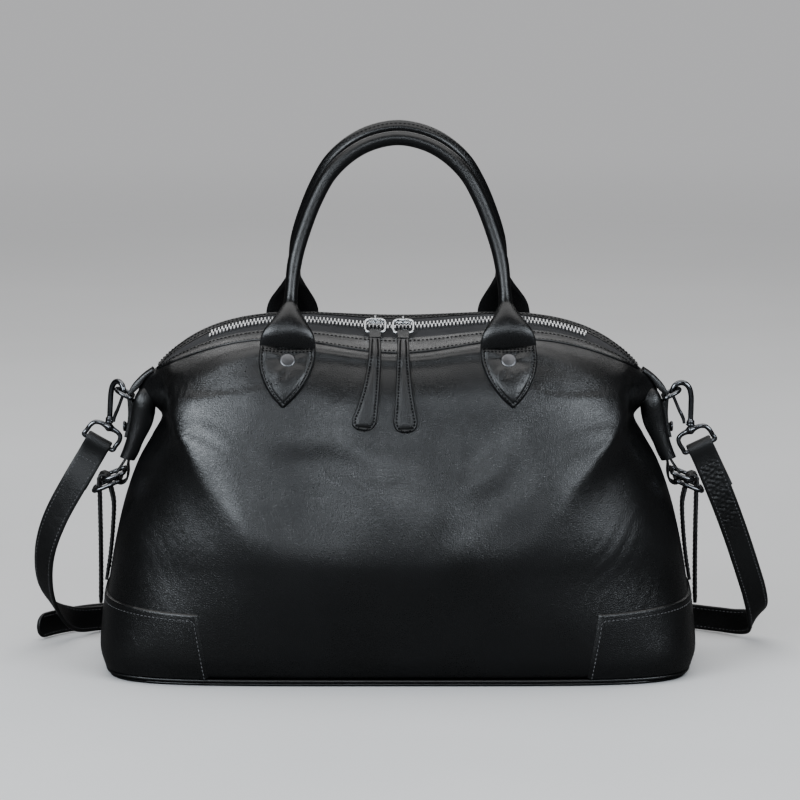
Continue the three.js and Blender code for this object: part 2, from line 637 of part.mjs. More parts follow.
// Leather pull: over the facing and the top edge, then down the front panel to a round end.
function zipPull({ sliderX, drift }) {
  const fullDrop = PULL_ROWS[PULL_ROWS.length - 1].down;
  const rings = PULL_ROWS.map(({ over, down, halfWidth }) => {
    const x = sliderX + drift * (down / fullDrop) ** 1.6;
    const corner = (sign) => {
      const edgeX = x + sign * halfWidth;
      if (down === 0) {
        const { at, up } = facingAt(-1, sAtX(-1, edgeX, TOP), 1 - over);
        return { at, normal: up };
      }
      return skinAt(-1, edgeX, skin(-1, sAtX(-1, edgeX, TOP), TOP).z - down);
    };
    const left = corner(-1);
    const right = corner(1);
    const raise = (from, height) => from.at.clone().addScaledVector(from.normal, height);
    const low = PULL_LIFT;
    const high = PULL_LIFT + PULL_THICK;
    return [raise(left, low), raise(right, low), raise(right, high), raise(left, high)];
  });
  return loft(rings);
}

// Rolled handle: a tube over the arch that opens into a bell on its tab at each end.
const TUBE = { halfWidth: HANDLE_RADIUS, halfThick: HANDLE_RADIUS };

function handle({ side, seatZ, neckZ, topZ, neckY, topY }) {
  const seat = skinAt(side, TAB_X, seatZ);
  const seatAt = seat.at.clone().addScaledVector(seat.normal, TAB_LIFT + TAB_THICK + BELL[0].halfThick);
  const neck = point(HANDLE_ARCH[0].halfWidth, side * neckY, neckZ);
  const half = [];
  for (const { share, halfWidth, halfThick } of BELL) {
    const at = seatAt.clone().lerp(neck, share);
    at.y += side * 4.5 * Math.sin(Math.PI * share);
    half.push({ at, halfWidth, halfThick });
  }
  for (const { rise, halfWidth } of HANDLE_ARCH) {
    const y = side * lerp(neckY, topY, rise ** 0.8);
    half.push({ at: point(halfWidth, y, lerp(neckZ, topZ, rise)), ...TUBE });
  }
  const crown = { at: point(0, side * topY, topZ), ...TUBE };
  const mirrored = half.map((row) => ({ ...row, at: point(-row.at.x, row.at.y, row.at.z) })).reverse();
  const rows = [...half, crown, ...mirrored];
  const path = rows.map((row) => row.at);
  const sides = 8;
  const rings = rows.map(({ at, halfWidth, halfThick }, i) => {
    const along = tangentAt(path, i);
    const thin = point(0, side, 0).addScaledVector(along, -along.y * side).normalize();
    const wide = along.clone().cross(thin).normalize();
    return Array.from({ length: sides }, (_, j) => {
      const turn = ((j + 0.5) / sides) * 2 * Math.PI;
      return at.clone()
        .addScaledVector(wide, halfWidth * Math.cos(turn))
        .addScaledVector(thin, halfThick * Math.sin(turn));
    });
  });
  return loft(rings);
}

// Leaf-shaped tab on the panel under a handle's bell, and the rivet through it.
function handleTab(side, end, seatZ) {
  const topZ = seatZ + 1.6;
  const spread = [-1, -0.5, 0, 0.5, 1];
  const grid = LEAF.map(({ share, halfWidth }) => spread.map((a) => {
    const x = end * lerp(TAB_X, TAB_TIP_X, share) + a * halfWidth;
    return skinAt(side, x, topZ - LEAF_LENGTH * share);
  }));
  const raise = ({ at, normal }, height) => at.clone().addScaledVector(normal, height);
  const raised = (height) => grid.map((row) => row.map((place) => raise(place, height)));
  return sheet(raised(TAB_LIFT + TAB_THICK), raised(TAB_LIFT));
}

function rivetProfile({ radius, height }) {
  return [
    new THREE.Vector2(0, 0), new THREE.Vector2(radius, 0), new THREE.Vector2(radius, height * 0.55),
    new THREE.Vector2(radius * 0.72, height), new THREE.Vector2(0, height),
  ];
}

// Turned piece standing on a point along a direction.
function turned(profile, sides, at, direction) {
  const geometry = new THREE.LatheGeometry(profile, sides);
  geometry.applyQuaternion(new THREE.Quaternion().setFromUnitVectors(point(0, 1, 0), direction));
  geometry.translate(at.x, at.y, at.z);
  return geometry;
}

function handleRivet(side, end, seatZ) {
  const { at, normal } = skinAt(side, end * TAB_X, seatZ - RIVET_DROP);
  const foot = at.addScaledVector(normal, TAB_LIFT + TAB_THICK + GAP + (side < 0 ? 0.6 : 0.1));
  return turned(rivetProfile(RIVET), 10, foot, normal);
}

// Side tab: leather folded lengthwise, open to the back, that narrows from the wing to the double rings.
function sideTab() {
  const section = (row, inset) => {
    const a = row.halfThick - inset;
    const front = -row.halfWidth + inset;
    const back = row.halfWidth - 1;
    const bend = Math.min(a, 4);
    const shape = [
      [-a, back], [-a, front + bend], [-a * 0.7, front + bend * 0.35], [0, front],
      [a * 0.7, front + bend * 0.35], [a, front + bend], [a, back],
    ];
    return shape.map(([x, y]) => point(row.x + x, y, row.z + x * row.slope));
  };
  return sheet(SIDE_TAB.map((row) => section(row, 0)), SIDE_TAB.map((row) => section(row, WALL)));
}

// Metal ring with a straight bar at one end and a bow at the other, in a plane along Y.
// roundness: 2 for a half-round bow, more for a squarer one.
function dRing(bar, bow, { halfWidth, wire: radius, roundness }) {
  const reach = point(bow.x - bar.x, 0, bow.z - bar.z);
  const shoulder = 0.3;
  const path = [point(bar.x, -halfWidth, bar.z), point(bar.x, halfWidth, bar.z)];
  const steps = 10;
  for (let i = 0; i <= steps; i += 1) {
    const turn = (i / steps) * Math.PI;
    const across = Math.sign(Math.cos(turn)) * Math.abs(Math.cos(turn)) ** (2 / roundness);
    const along = shoulder + (1 - shoulder) * Math.sin(turn) ** (2 / roundness);
    path.push(point(bar.x + reach.x * along, halfWidth * across, bar.z + reach.z * along));
  }
  const normal = reach.clone().cross(point(0, 1, 0)).normalize();
  return wire(path, normal, radius, 6, true);
}

// Cinch belt: up the end of the bag, round the upper ring's bow and down as a free tail.
function sideBelt() {
  const bow = RING_BOWS.upper;
  const around = SIDE_RING.wire + GAP + BELT_THICK / 2 + 0.4;
  const turn = [180, 135, 90, 45, 0].map((angle) => ({
    x: bow.x + around * Math.cos(radians(angle)), z: bow.z + around * Math.sin(radians(angle)),
  }));
  return sideStrip([...BELT_ROOT, ...turn, ...BELT_TAIL], BELT_WIDTH / 2, BELT_THICK, 28);
}

// Place and directions of a snap hook: up its stem, out of its stem, and square to its plane.
const swivelOf = ({ foot }) => point(SWIVEL.x + foot.x, foot.y, SWIVEL.z + foot.z);

function hookFrame(end) {
  const { lean, twist } = end;
  const stem = point(-Math.sin(radians(lean)), 0, Math.cos(radians(lean)));
  const out = point(Math.cos(radians(lean)), 0, Math.sin(radians(lean)))
    .multiplyScalar(Math.cos(radians(twist))).add(point(0, Math.sin(radians(twist)), 0));
  return { foot: swivelOf(end), stem, out, square: out.clone().cross(stem).normalize() };
}

function hookPoint({ foot, stem, out }, { a, b }) {
  return foot.clone().addScaledVector(out, a).addScaledVector(stem, b);
}

function snapHook(frame) {
  const path = HOOK_PATH.map((row) => hookPoint(frame, row));
  return wire(path, frame.square, (i) => lerp(HOOK.wire, HOOK.barrel, HOOK_PATH[i].wide), 8);
}

function hookGate(frame) {
  const path = GATE_PATH.map((row) => hookPoint(frame, row));
  return wire(path, frame.square, (i) => GATE_PATH[i].radius, 6);
}

// Strap loop below the swivel: a rounded wire frame with a knob under the hook.
function loopFrame(end) {
  const { loopTilt } = end;
  const top = swivelOf(end);
  const down = point(Math.sin(radians(loopTilt)), 0, -Math.cos(radians(loopTilt)));
  const outward = point(Math.cos(radians(loopTilt)), 0, Math.sin(radians(loopTilt)));
  const bar = top.clone().addScaledVector(down, LOOP.length).addScaledVector(outward, 1.4);
  return { down, outward, top, bar };
}

function strapLoop(frame) {
  const shape = [
    [0, 0, 1], [0.25, 0, 0.3], [0.6, 0.02, 0], [0.88, 0.14, 0], [1, 0.4, 0], [1, 0.75, 0], [1, 1, 0],
    [0.5, 1, 0], [-0.5, 1, 0], [-1, 1, 0], [-1, 0.75, 0], [-1, 0.4, 0], [-0.88, 0.14, 0],
    [-0.6, 0.02, 0], [-0.25, 0, 0.3],
  ];
  const path = shape.map(([a, b]) => frame.top.clone()
    .addScaledVector(frame.outward, LOOP.halfWidth * a + 1.4 * b)
    .addScaledVector(frame.down, LOOP.length * b));
  return wire(path, point(0, 1, 0), (i) => lerp(LOOP.wire, LOOP.knob, shape[i][2]), 6, true);
}

// Fold of a strap round a bar: points from the sewn-back end, round the bar, to the free side.
// bar: its middle; along: the way the strap leaves; back: the side of the sewn-back end.
function strapFold(bar, along, back, sewn, metal) {
  const around = metal + GAP + STRAP_THICK / 2 + 0.15;
  const flat = STRAP_THICK / 2 + GAP / 2 + 0.1;
  const at = (down, off) => bar.clone().addScaledVector(along, down).addScaledVector(back, off);
  const turn = [0, 45, 90, 135, 180].map((angle) => at(
    -around * Math.sin(radians(angle)), around * Math.cos(radians(angle))));
  return [at(sewn, flat), at(9, flat + 0.3), ...turn, at(9, -flat - 0.3)];
}

// Strap of constant width along a path with given width directions.
function strapAlong(path, directions) {
  const steps = 2 * (path.length - 1);
  const curve = new THREE.CatmullRomCurve3(path, false, 'centripetal');
  const sideways = new THREE.CatmullRomCurve3(directions, false, 'centripetal');
  const at = Array.from({ length: steps + 1 }, (_, i) => curve.getPoint(i / steps));
  const widths = at.map((_, i) => {
    const along = tangentAt(at, i);
    const across = sideways.getPoint(i / steps);
    across.addScaledVector(along, -across.dot(along));
    return across.normalize().multiplyScalar(STRAP_WIDTH / 2);
  });
  return strip(at, widths, STRAP_THICK);
}

const rowPoint = ({ x, y, z }) => point(x, y, z);
const rowAcross = ({ wx, wy, wz }) => point(wx, wy, wz);

// Right half: from its hook down, along the floor behind the bag, through the buckle to its free tip.
function strapRight(frame) {
  const fold = strapFold(frame.bar, frame.down, point(0, 1, 0), 34, LOOP.wire);
  const path = [...fold, ...STRAP_RIGHT.map(rowPoint)];
  const directions = [...fold.map(() => frame.outward.clone()), ...STRAP_RIGHT.map(rowAcross)];
  return strapAlong(path, directions);
}

// Left half: from its hook down and behind the bag to the buckle, where its end is folded back.
function strapLeft(frame) {
  const fold = strapFold(frame.bar, frame.down, point(0, 1, 0), 34, LOOP.wire);
  const buckleBar = point(-(BUCKLE.x - BUCKLE.halfLength), BUCKLE.y, BUCKLE.z);
  const buckleFold = strapFold(buckleBar, point(1, 0, 0), point(0, 1, 0), 26, BUCKLE.wire).reverse();
  const path = [...fold, ...STRAP_LEFT.map(rowPoint), ...buckleFold];
  const directions = [
    ...fold.map(() => frame.outward.clone()),
    ...STRAP_LEFT.map(rowAcross),
    ...buckleFold.map(() => point(0, 0, 1)),
  ];
  return strapAlong(path, directions);
}

// Buckle: a plain wire frame standing on edge; keeper: a leather band round both layers.
function strapBuckle() {
  const shape = [[-1, -0.8], [-0.8, -1], [0.8, -1], [1, -0.8], [1, 0.8], [0.8, 1], [-0.8, 1], [-1, 0.8]];
  const path = shape.map(([a, b]) => point(
    BUCKLE.x + a * BUCKLE.halfLength, BUCKLE.y, BUCKLE.z + b * BUCKLE.halfHeight));
  return wire(path, point(0, 1, 0), BUCKLE.wire, 6, true);
}

function strapKeeper() {
  const middle = { y: 103.9, z: 12 };
  const inside = { y: 4.3, z: STRAP_WIDTH / 2 + GAP + 0.1 };
  const frameAt = (x, grow) => [[-1, -1], [1, -1], [1, 1], [-1, 1]].map(([a, b]) => point(
    x, middle.y + a * (inside.y + grow), middle.z + b * (inside.z + grow)));
  const x0 = KEEPER.x - KEEPER.length / 2;
  const x1 = KEEPER.x + KEEPER.length / 2;
  return loft([frameAt(x0, 0), frameAt(x1, 0), frameAt(x1, KEEPER.thick), frameAt(x0, KEEPER.thick)], true);
}

addPiece('front_panel', panel(-1), LEATHER);
addPiece('back_panel', panel(1), LEATHER);
addPiece('base_panel', basePanel(), LEATHER);
addPiece('base_welt', baseWelt(), LEATHER);
addPiece('zip_facing_front', zipFacing(-1), LEATHER);
addPiece('zip_facing_back', zipFacing(1), LEATHER);
addPiece('zip_tape', zipTape(), TAPE);
addPiece('zip_chain', zipChain(), GUNMETAL);

for (const pull of PULLS) {
  addPiece(`zip_slider_${pull.name}`, zipSlider(pull.sliderX), GUNMETAL);
  addPiece(`pull_link_${pull.name}`, pullLink(pull.sliderX), GUNMETAL);
  addPiece(`zip_pull_${pull.name}`, zipPull(pull), LEATHER);
}

for (const spec of HANDLES) {
  addPiece(`handle_${spec.name}`, handle(spec), LEATHER);
  for (const [end, endName] of [[-1, 'left'], [1, 'right']]) {
    addPiece(`handle_tab_${spec.name}_${endName}`, handleTab(spec.side, end, spec.seatZ), LEATHER);
    addPiece(`handle_rivet_${spec.name}_${endName}`, handleRivet(spec.side, end, spec.seatZ), GUNMETAL);
  }
}

for (const end of ENDS) {
  const add = (name, geometry, finish) => {
    addPiece(`${name}_${end.name}`, toEnd(geometry, end.mirror), finish);
  };
  const hook = hookFrame(end);
  const loop = loopFrame(end);
  const rise = radians(D_RING.rise);
  const dBow = { x: D_BAR.x + D_RING.reach * Math.cos(rise), z: D_BAR.z + D_RING.reach * Math.sin(rise) };
  add('corner_patch', cornerPatch(), LEATHER);
  add('side_tab', sideTab(), LEATHER);
  add('d_holder', sideStrip(D_HOLDER, 6.6, HOLDER_THICK, 16), LEATHER);
  add('d_ring', dRing(D_BAR, dBow, D_RING), GUNMETAL);
  add('ring_holder', sideStrip(RING_HOLDER, 7, HOLDER_THICK, 24), LEATHER);
  add('side_ring_upper', dRing(RING_BARS.upper, RING_BOWS.upper, SIDE_RING), GUNMETAL);
  add('side_ring_lower', dRing(RING_BARS.lower, RING_BOWS.lower, SIDE_RING), GUNMETAL);
  add('side_belt', sideBelt(), LEATHER);
  add('hook', snapHook(hook), GUNMETAL);
  add('gate', hookGate(hook), GUNMETAL);
  add('strap_loop', strapLoop(loop), GUNMETAL);
  add('strap', end.name === 'right' ? strapRight(loop) : strapLeft(loop), LEATHER);
  const rivetFoot = point(185.6 + HOLDER_THICK / 2 + GAP, 0, TAB_RIVET_Z);
  const rivet = turned(rivetProfile(TAB_RIVET), 10, rivetFoot, point(1, 0, 0));
  rivet.deleteAttribute('normal');
  rivet.deleteAttribute('uv');
  add('tab_rivet', rivet, GUNMETAL);
}

addPiece('strap_buckle', strapBuckle(), GUNMETAL);
addPiece('strap_keeper', strapKeeper(), LEATHER);

export default bag;
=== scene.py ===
import math

import bpy
import numpy as np
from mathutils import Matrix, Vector


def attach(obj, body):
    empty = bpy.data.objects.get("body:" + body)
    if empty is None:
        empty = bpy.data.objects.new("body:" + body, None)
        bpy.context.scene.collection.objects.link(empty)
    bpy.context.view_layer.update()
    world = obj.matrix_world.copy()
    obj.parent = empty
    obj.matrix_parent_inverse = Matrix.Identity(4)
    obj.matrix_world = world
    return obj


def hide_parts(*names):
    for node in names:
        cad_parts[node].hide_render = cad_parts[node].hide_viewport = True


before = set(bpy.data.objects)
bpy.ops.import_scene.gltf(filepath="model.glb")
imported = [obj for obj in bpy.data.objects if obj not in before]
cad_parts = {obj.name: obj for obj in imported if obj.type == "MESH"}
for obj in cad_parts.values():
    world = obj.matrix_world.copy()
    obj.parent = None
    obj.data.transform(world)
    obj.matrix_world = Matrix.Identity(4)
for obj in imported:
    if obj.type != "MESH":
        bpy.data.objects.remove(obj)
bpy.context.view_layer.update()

# Sizes in millimetres, in the frame of the solids
MM = 0.001
GAP = 0.3
EXTRA_GAP = 0.2
SEAM_GAP = 0.15
THREAD_LIFT = 0.05
WALL = 2.0
PANEL = dict(columns=250, rows=118, guide_rows=(4.0, 8.0), guide_s=0.25)
TUCK = dict(end=0.8, end_reach=2.2, foot=1.1, foot_reach=1.6)
BASE_THICK = 2.2
BASE_HALF = dict(x=197.5, y=78.5, fullness=5.0)
WELT = dict(radius=1.2, grow=0.8, step=3.0)
PATCH = dict(
    front_x=126.0, slant=8.0, top_z=49.0, foot_row=0.05, top_row=2.04, guide_s=0.3, end_rise=0.2,
    upright_share=0.6, under=0.06, low=0.25, high=1.9, rounding=1.5,
)
PATCH_STITCH = dict(inset=2.7, foot=0.02, rise=0.925, drop=0.075)
ZIP_RISE = 5.0
ZIP_LEAN = 4.6
ZIP_COLUMNS = 170
LEAN_ANGLE = 0.3
FACING = dict(
    reach=11 / 16, thick=1.6, bead=0.95, swell=0.55, swell_from=0.1, swell_over=0.62, lip=0.4, lip_reach=1.2,
)
FACING_STITCH = dict(reach=0.64, steps=160, shares=(0.13, 0.74), lift=0.08)
TAPE = dict(reach=10 / 16, share=0.3, drop=0.6, rows=25, crown=0.3, thick=1.0)
CHAIN = dict(half_length=128.0, steps=130, height=2.4, pitch=2.5, reach=2.1, radius=0.6, bar=4.4)
HANDLE = dict(radius=4.9, bow=4.5, steps=9, sides=32)
HANDLE_SEAM = dict(
    height=0.1, reach=0.3, valley=0.05, valley_at=0.62, valley_reach=0.16,
    stitch_angle=40, stitch_depth=0.985,
)
TAB_HEIGHT = 2.85
TAB_X = 73.5
TAB_TIP_X = 76.5
RIVET = dict(radius=5.5, height=2.7, sunk=0.5)
TAB_RIVET = dict(radius=3.6, height=1.4, stem=1.8)
STRAP_WIDTH = 18.0
STRAP_THICK = 2.4
BELT_WIDTH = 16.0
BELT_THICK = 2.0
HOLDER_THICK = 1.4
HOLDER_HALF = dict(d=6.6, ring=7)
D_RING = dict(wire=1.5, half_width=9.0, roundness=2.3, reach=11.8, rise=25.4)
SIDE_RING = dict(wire=1.5, half_width=11.5, roundness=5.0)
RING_FORM = dict(shoulder=0.3, bow=0.7, bar_inset=1.2, corner=0.06, corner_inset=0.25, step=0.9)
HOOK = dict(wire=1.9, barrel=2.8)
LOOP = dict(wire=1.6, half_width=11.3, length=12.7, lean=1.4, knob=3.1)
BUCKLE = dict(wire=1.6, half_length=11.0, half_height=10.4, corner=0.8, x=30.0, y=101.5, z=13.1)
KEEPER = dict(x=-45.0, length=10.0, thick=1.5, rounding=0.3, y=103.9, z=12.0, half_y=4.3, half_z=9.4)
# Stitches: pitch, length and thickness in each kind of row
STITCH_SIZES = dict(
    corner=(3.0, 2.15, 0.5), facing=(2.8, 1.9, 1.0), pull=(2.2, 1.5, 1.05), handle=(3.0, 2.0, 0.5),
    leaf=(2.4, 1.6, 1.0), strap=(3.0, 1.7, 0.5), belt=(3.0, 2.0, 0.5),
)

# Camera, floor and lights in metres, degrees and watts
CAMERA = dict(at=(0.0, -2.5, 0.6), pitch=80.5, sensor=36.0, lens=167.0, shift=0.0025, clip=(0.1, 20.0))
FLOOR = dict(radius=3.6, fade=0.7, z=-0.0002, sides=96)
BACKGROUND = dict(color=(0.52, 0.52, 0.53, 1), light=0.06, seen=1.0)
COOL = (0.86, 0.93, 1.0)
BAG_MIDDLE = (0, 0, 0.15)
LIGHTS = [
    dict(name="left_softbox", at=(-1.46, -1.75, 1.12), size=(1.9, 0.7), power=47, color=COOL, spin=-32),
    dict(name="right_softbox", at=(1.52, -1.7, 1.1), size=(1.7, 0.6), power=33, color=COOL, spin=24),
    dict(name="front_softbox", at=(0.0, -2.75, 1.2), size=(0.4, 0.9), power=10, color=COOL),
    dict(name="top_softbox", at=(0.0, 0.0, 2.6), aim=(0, 0.1, 0.0), size=(3.6, 2.6), power=60),
    dict(name="back_softbox", at=(0.0, 2.3, 1.85), aim=(0, 0, 0.2), size=(3.2, 0.9), power=16),
]

# Body sections from the base to the top edge, with the columns of the part's source: heights at the ends,
# front and back, half-width, nose of the wings at front and back with its depth, depths of front and back,
# fullness p and q, ease of the middle, how late the height falls off, and lift beside the middle
BODY_COLUMNS = "zs zf zb hw nf nb nd df db p q ease k lf lb".split()
BODY = np.array([
    (5.2, 5.2, 5.2, 198, 0, 0, 20, 79, 79, 5, 0.2, 0, 3, 0, 0),
    (20, 20, 20, 201.5, 0, 0, 20, 84, 83, 4.5, 0.222, 0, 3, 0, 0),
    (49, 47, 47, 199, 0, 0, 20, 88, 86, 3.7, 0.27, 0, 3, 0, 0),
    (83, 82, 82, 194, 0, 0, 20, 89, 86, 3.2, 0.312, 0, 3, 0, 0),
    (113, 113, 114, 187.5, 3, 1, 20, 86, 84, 3.1, 0.323, 0, 3, 0, 0),
    (140, 146, 147, 178, 7, 2, 19, 80, 80, 3.4, 0.294, 0, 3, 1, 0),
    (158, 174, 176, 168, 9, 2, 18, 74, 75, 4.2, 0.238, 0, 3.4, 2, 0),
    (172, 196, 200, 161.5, 9, 1, 17, 67, 69, 5.2, 0.192, 0, 4, 4, 1),
    (188, 211, 219, 178, 27, 12, 16, 58, 60, 5.8, 0.172, 0, 5, 6, 2),
    (198, 218, 228, 172.5, 15, 8, 16, 52, 52, 3.6, 0.3, 2, 5.6, 8, 3),
    (203, 221, 233, 165, 0, 0, 16, 41, 41, 2, 0.5, 5, 6.2, 8.5, 3),
], float)
TOP = len(BODY) - 1
TOP_HALF_WIDTH = BODY[TOP, BODY_COLUMNS.index("hw")]
END_CROWDING = 2.2
END_FLATNESS = 8
# Where the low relief fades out, in rows from the foot and from the top edge
CALM = dict(foot=0.8, top=0.4, fade=1.2)
SKIN_MAP = dict(s=0.8, columns=121, low_row=3, below_top=0.02, rows=101)

# Soft dents and swells: side, middle x and z, half-sizes, depth inwards
FOLDS = [
    dict(side=-1, x=0, z=158, rx=88, rz=36, depth=3),
    dict(side=-1, x=2, z=140, rx=50, rz=56, depth=-5),
    dict(side=-1, x=0, z=92, rx=120, rz=34, depth=-2),
    dict(side=-1, x=-108, z=128, rx=26, rz=56, depth=-3),
    dict(side=-1, x=104, z=128, rx=26, rz=56, depth=-3),
    dict(side=-1, x=-164, z=122, rx=30, rz=44, depth=-2.6),
    dict(side=-1, x=164, z=122, rx=30, rz=44, depth=-2.6),
    dict(side=-1, x=-180, z=27, rx=20, rz=16, depth=-2),
    dict(side=-1, x=182, z=22, rx=13, rz=12, depth=-1.5),
    dict(side=1, x=0, z=150, rx=100, rz=44, depth=6),
    dict(side=1, x=-60, z=80, rx=60, rz=40, depth=-2),
]
# Crest where the front turns to the ends and to the lower belly: x, z, height, reach in and out, rounding
CREST = [
    (-152, 203, 4, 16, 7, 2), (-151.5, 190, 8.5, 20, 7, 2), (-145.5, 174, 8, 22, 9, 2),
    (-136, 157, 6.5, 26, 12, 3), (-128, 141, 5.5, 30, 16, 5), (-115, 124, 5, 34, 20, 8),
    (-99, 109, 4.6, 36, 22, 11), (-76, 97.5, 4.2, 36, 22, 13), (-45, 89.5, 3.8, 36, 20, 14),
    (0, 87, 3.6, 36, 20, 14), (40, 90.5, 3.8, 36, 20, 14), (70, 98.5, 4.2, 36, 22, 13),
    (89, 108, 4.6, 36, 22, 11), (103, 121, 5, 34, 20, 8), (116, 136, 5.5, 30, 16, 5),
    (129, 151, 6.5, 26, 12, 3), (140, 166, 7.5, 22, 9, 2), (148, 180, 8, 20, 7, 2),
    (151, 192, 7, 20, 7, 2), (151, 202, 4, 16, 7, 2),
]
# Crest ends, its fading towards the end seams, and how far it leans outwards near the wings
CREST_FORM = dict(end=9, depth=14, lean=0.5, lean_x=110, lean_over=35)
# Crinkles: a packet of short waves at x, z, running at an angle; spacing, reach, half-length, depth
CRINKLES = [
    dict(side=-1, x=-150, z=192, angle=20, spacing=9, reach=15, length=16, depth=0.25),
    dict(side=-1, x=-138, z=172, angle=60, spacing=12, reach=14, length=24, depth=0.22),
    dict(side=-1, x=152, z=190, angle=-25, spacing=8, reach=15, length=18, depth=0.3),
    dict(side=-1, x=136, z=168, angle=-62, spacing=13, reach=15, length=26, depth=0.24),
    dict(side=-1, x=150, z=96, angle=-38, spacing=9, reach=16, length=34, depth=0.16),
    dict(side=-1, x=-160, z=84, angle=34, spacing=8, reach=14, length=26, depth=0.14),
    dict(side=-1, x=168, z=62, angle=-14, spacing=8, reach=12, length=22, depth=0.14),
    dict(side=-1, x=-40, z=150, angle=80, spacing=26, reach=26, length=40, depth=0.45),
    dict(side=-1, x=60, z=128, angle=-50, spacing=30, reach=34, length=40, depth=0.5),
    dict(side=1, x=-140, z=180, angle=-40, spacing=12, reach=18, length=24, depth=0.6),
    dict(side=1, x=140, z=180, angle=40, spacing=12, reach=18, length=24, depth=0.6),
    dict(side=1, x=40, z=120, angle=70, spacing=28, reach=34, length=50, depth=0.6),
]
# Slow sway of soft leather: random waves between two lengths
SWAY_SEED = 11
SWAY_RANGE = dict(waves=16, shortest=38, longest=120, height=0.26, pace=0.055)
CRINKLE_WAVER = dict(height=2.2, length=9.0)

# Handles: rise from neck to top with half-width of the arch
HANDLE_ARCH = [(0, 72), (0.255, 69), (0.473, 62), (0.64, 54.5), (0.782, 45.5), (0.9, 32), (0.97, 17.5)]
HANDLES = [
    dict(name="front", side=-1, seat_z=224.5, neck_z=254, top_z=362.8, neck_y=43, top_y=20),
    dict(name="back", side=1, seat_z=227, neck_z=262, top_z=366.8, neck_y=43, top_y=17),
]
# Bell at a handle's foot: share of the way to the neck, half-width, half-thickness
BELL = [
    (0, 18.5, 0.6), (0.12, 18.3, 1.6), (0.28, 17.5, 2.7), (0.44, 15.4, 3.6), (0.62, 11.6, 4.3),
    (0.8, 7.8, 4.8),
]
# Leaf tab: share of its length down, half-width
LEAF = np.array([
    (0, 18.6), (0.05, 18.7), (0.12, 18.8), (0.24, 18.7), (0.42, 17), (0.64, 13), (0.84, 7.2), (1, 0.9),
], float)
LEAF_LENGTH = 38.0
LEAF_TOP = 1.6
LEAF_RELIEF = dict(
    under=0.12, edge=0.3, rounding=1.6, taper_from=0.3, taper_over=0.7, taper=0.35, end=0.6,
    crown=2.8, groove=0.6, groove_in=2.5, groove_reach=0.7, dip=1.3, dip_reach=7.0,
)
# Puckers round a leaf's rivet: waves with their count, height and phase
PUCKER = dict(at=9.5, reach=4.5, fade=4, waves=((5, 0.28, 0.6), (8, 0.2, 0.0)))
LEAF_STITCH = dict(rows=(0.3, 6.55), steps=40, cross_rows=(1.05, 1.53), bend=0.25, reach=0.84, lift=0.08)
RIVET_DROP = 8.2

# Leather zip pulls: way over the facing, drop below its edge, half-width
PULL_ROWS = [
    (0.3, 0, 3.9), (0.65, 0, 4), (0.94, 0, 4.1), (1, 1.2, 4.2), (1, 3, 4.3), (1, 5.5, 4.5), (1, 9.5, 4.7),
    (1, 18, 5.3), (1, 28, 6.2), (1, 37, 7.4), (1, 43, 8), (1, 47, 6.6), (1, 49, 3.2),
]
PULLS = [dict(name="left", x=-15.5, drift=-8.5), dict(name="right", x=3.5, drift=1.8)]
PULL = dict(
    lift=1.0, thick=2.2, edge=0.5, rounding=1.0, under=0.25, tip=0.05, root=0.2, bend=1.6, steps=6,
    groove=0.45, groove_in=2.1, groove_reach=0.55, swell=0.7, swell_over=2.5,
)
PULL_FOLD = dict(radius=1.75, back=1.5, low=0.1, high=1.5, half_width=3.9, thick=1.3)
PULL_STITCH = dict(columns=41, first_row=3, tip_rows=9, tip_drop=3.6, every=4)
SLIDER = dict(half_length=5.5, half_width=4.4, height=3.4, lift=0.8, squareness=0.6, waist=0.14, sides=40)
# Slider from foot to crown: shrink, share of its height
SLIDER_PROFILE = [(0.9, 0), (1, 0.12), (1, 0.3), (0.93, 0.42), (0.8, 0.5), (0.05, 0.53)]
ARCH = dict(
    half_length=2.2, half_height=1.8, lift=0.1, turn=(-64, 244), steps=25, wire=0.85,
    foot=0.4, foot_share=0.3,
)
LINK = dict(half_width=6.9, wire=0.9, back=-3.0, front=-12.0, seat=0.55, over=0.85, clear=3.2, step=0.7)

# End hardware in the X-Z plane at the right end
D_BAR = (181.5, 184)
# Side tab: x, z, half-thickness, half-width, slope
SIDE_TAB = [
    (167.5, 190, 5, 8.5, 0.6), (170.4, 185, 6.2, 11, 0.6), (172.6, 180, 6.6, 12, 0.6),
    (174, 173, 7.2, 11.6, 0.4), (175.6, 166, 7, 11, 0.25), (180, 154, 5.4, 10.5, 0.25),
    (182.6, 147, 5.2, 10.2, 0.25), (185, 142, 4.9, 10, 0.25),
]
SIDE_TAB_FORM = dict(thick=1.8, bend=4, turn=(0.7, 0.35), flat=0.3, back=1)
# Leather that holds the D-ring: middle of its outer ply, then how far it is filled behind
D_HOLDER = [
    (167.2, 203.6, 1), (172.9, 199.6, 1.6), (178.2, 194.6, 3), (182, 189.8, 2.5), (183.8, 185.4, 0.4),
    (183.6, 180, 2.8), (183.4, 173, 2.6), (184.2, 166, 2.4), (186.3, 157, 1.4),
]
TAB_RIVET_AT = (186.6, 163.6)
# Double rings: where their bars and the middles of their bows lie, then their leather loop and the belt
RING_BARS = dict(upper=(187.2, 133), lower=(190.2, 127.4))
RING_BOWS = dict(upper=(201.6, 127.6), lower=(208.2, 119.8))
RING_HOLDER = [
    (178.9, 156), (181.6, 148), (184, 142), (184.8, 137), (184.7, 132), (186.1, 126.4), (189.9, 124.5),
    (193.3, 126.9), (192.5, 131.4), (189.3, 136.5), (185.9, 142), (183.3, 148), (180.8, 156),
]
BELT_ROOT = [(200.3, 57.8), (197.6, 75), (195.6, 95), (195, 112), (196.8, 121)]
BELT_TAIL = [(204.6, 122.5), (204.4, 110), (204.2, 85), (204.3, 60), (204.6, 40)]
BELT_STITCH = dict(y=5.6, first=6, last=5)
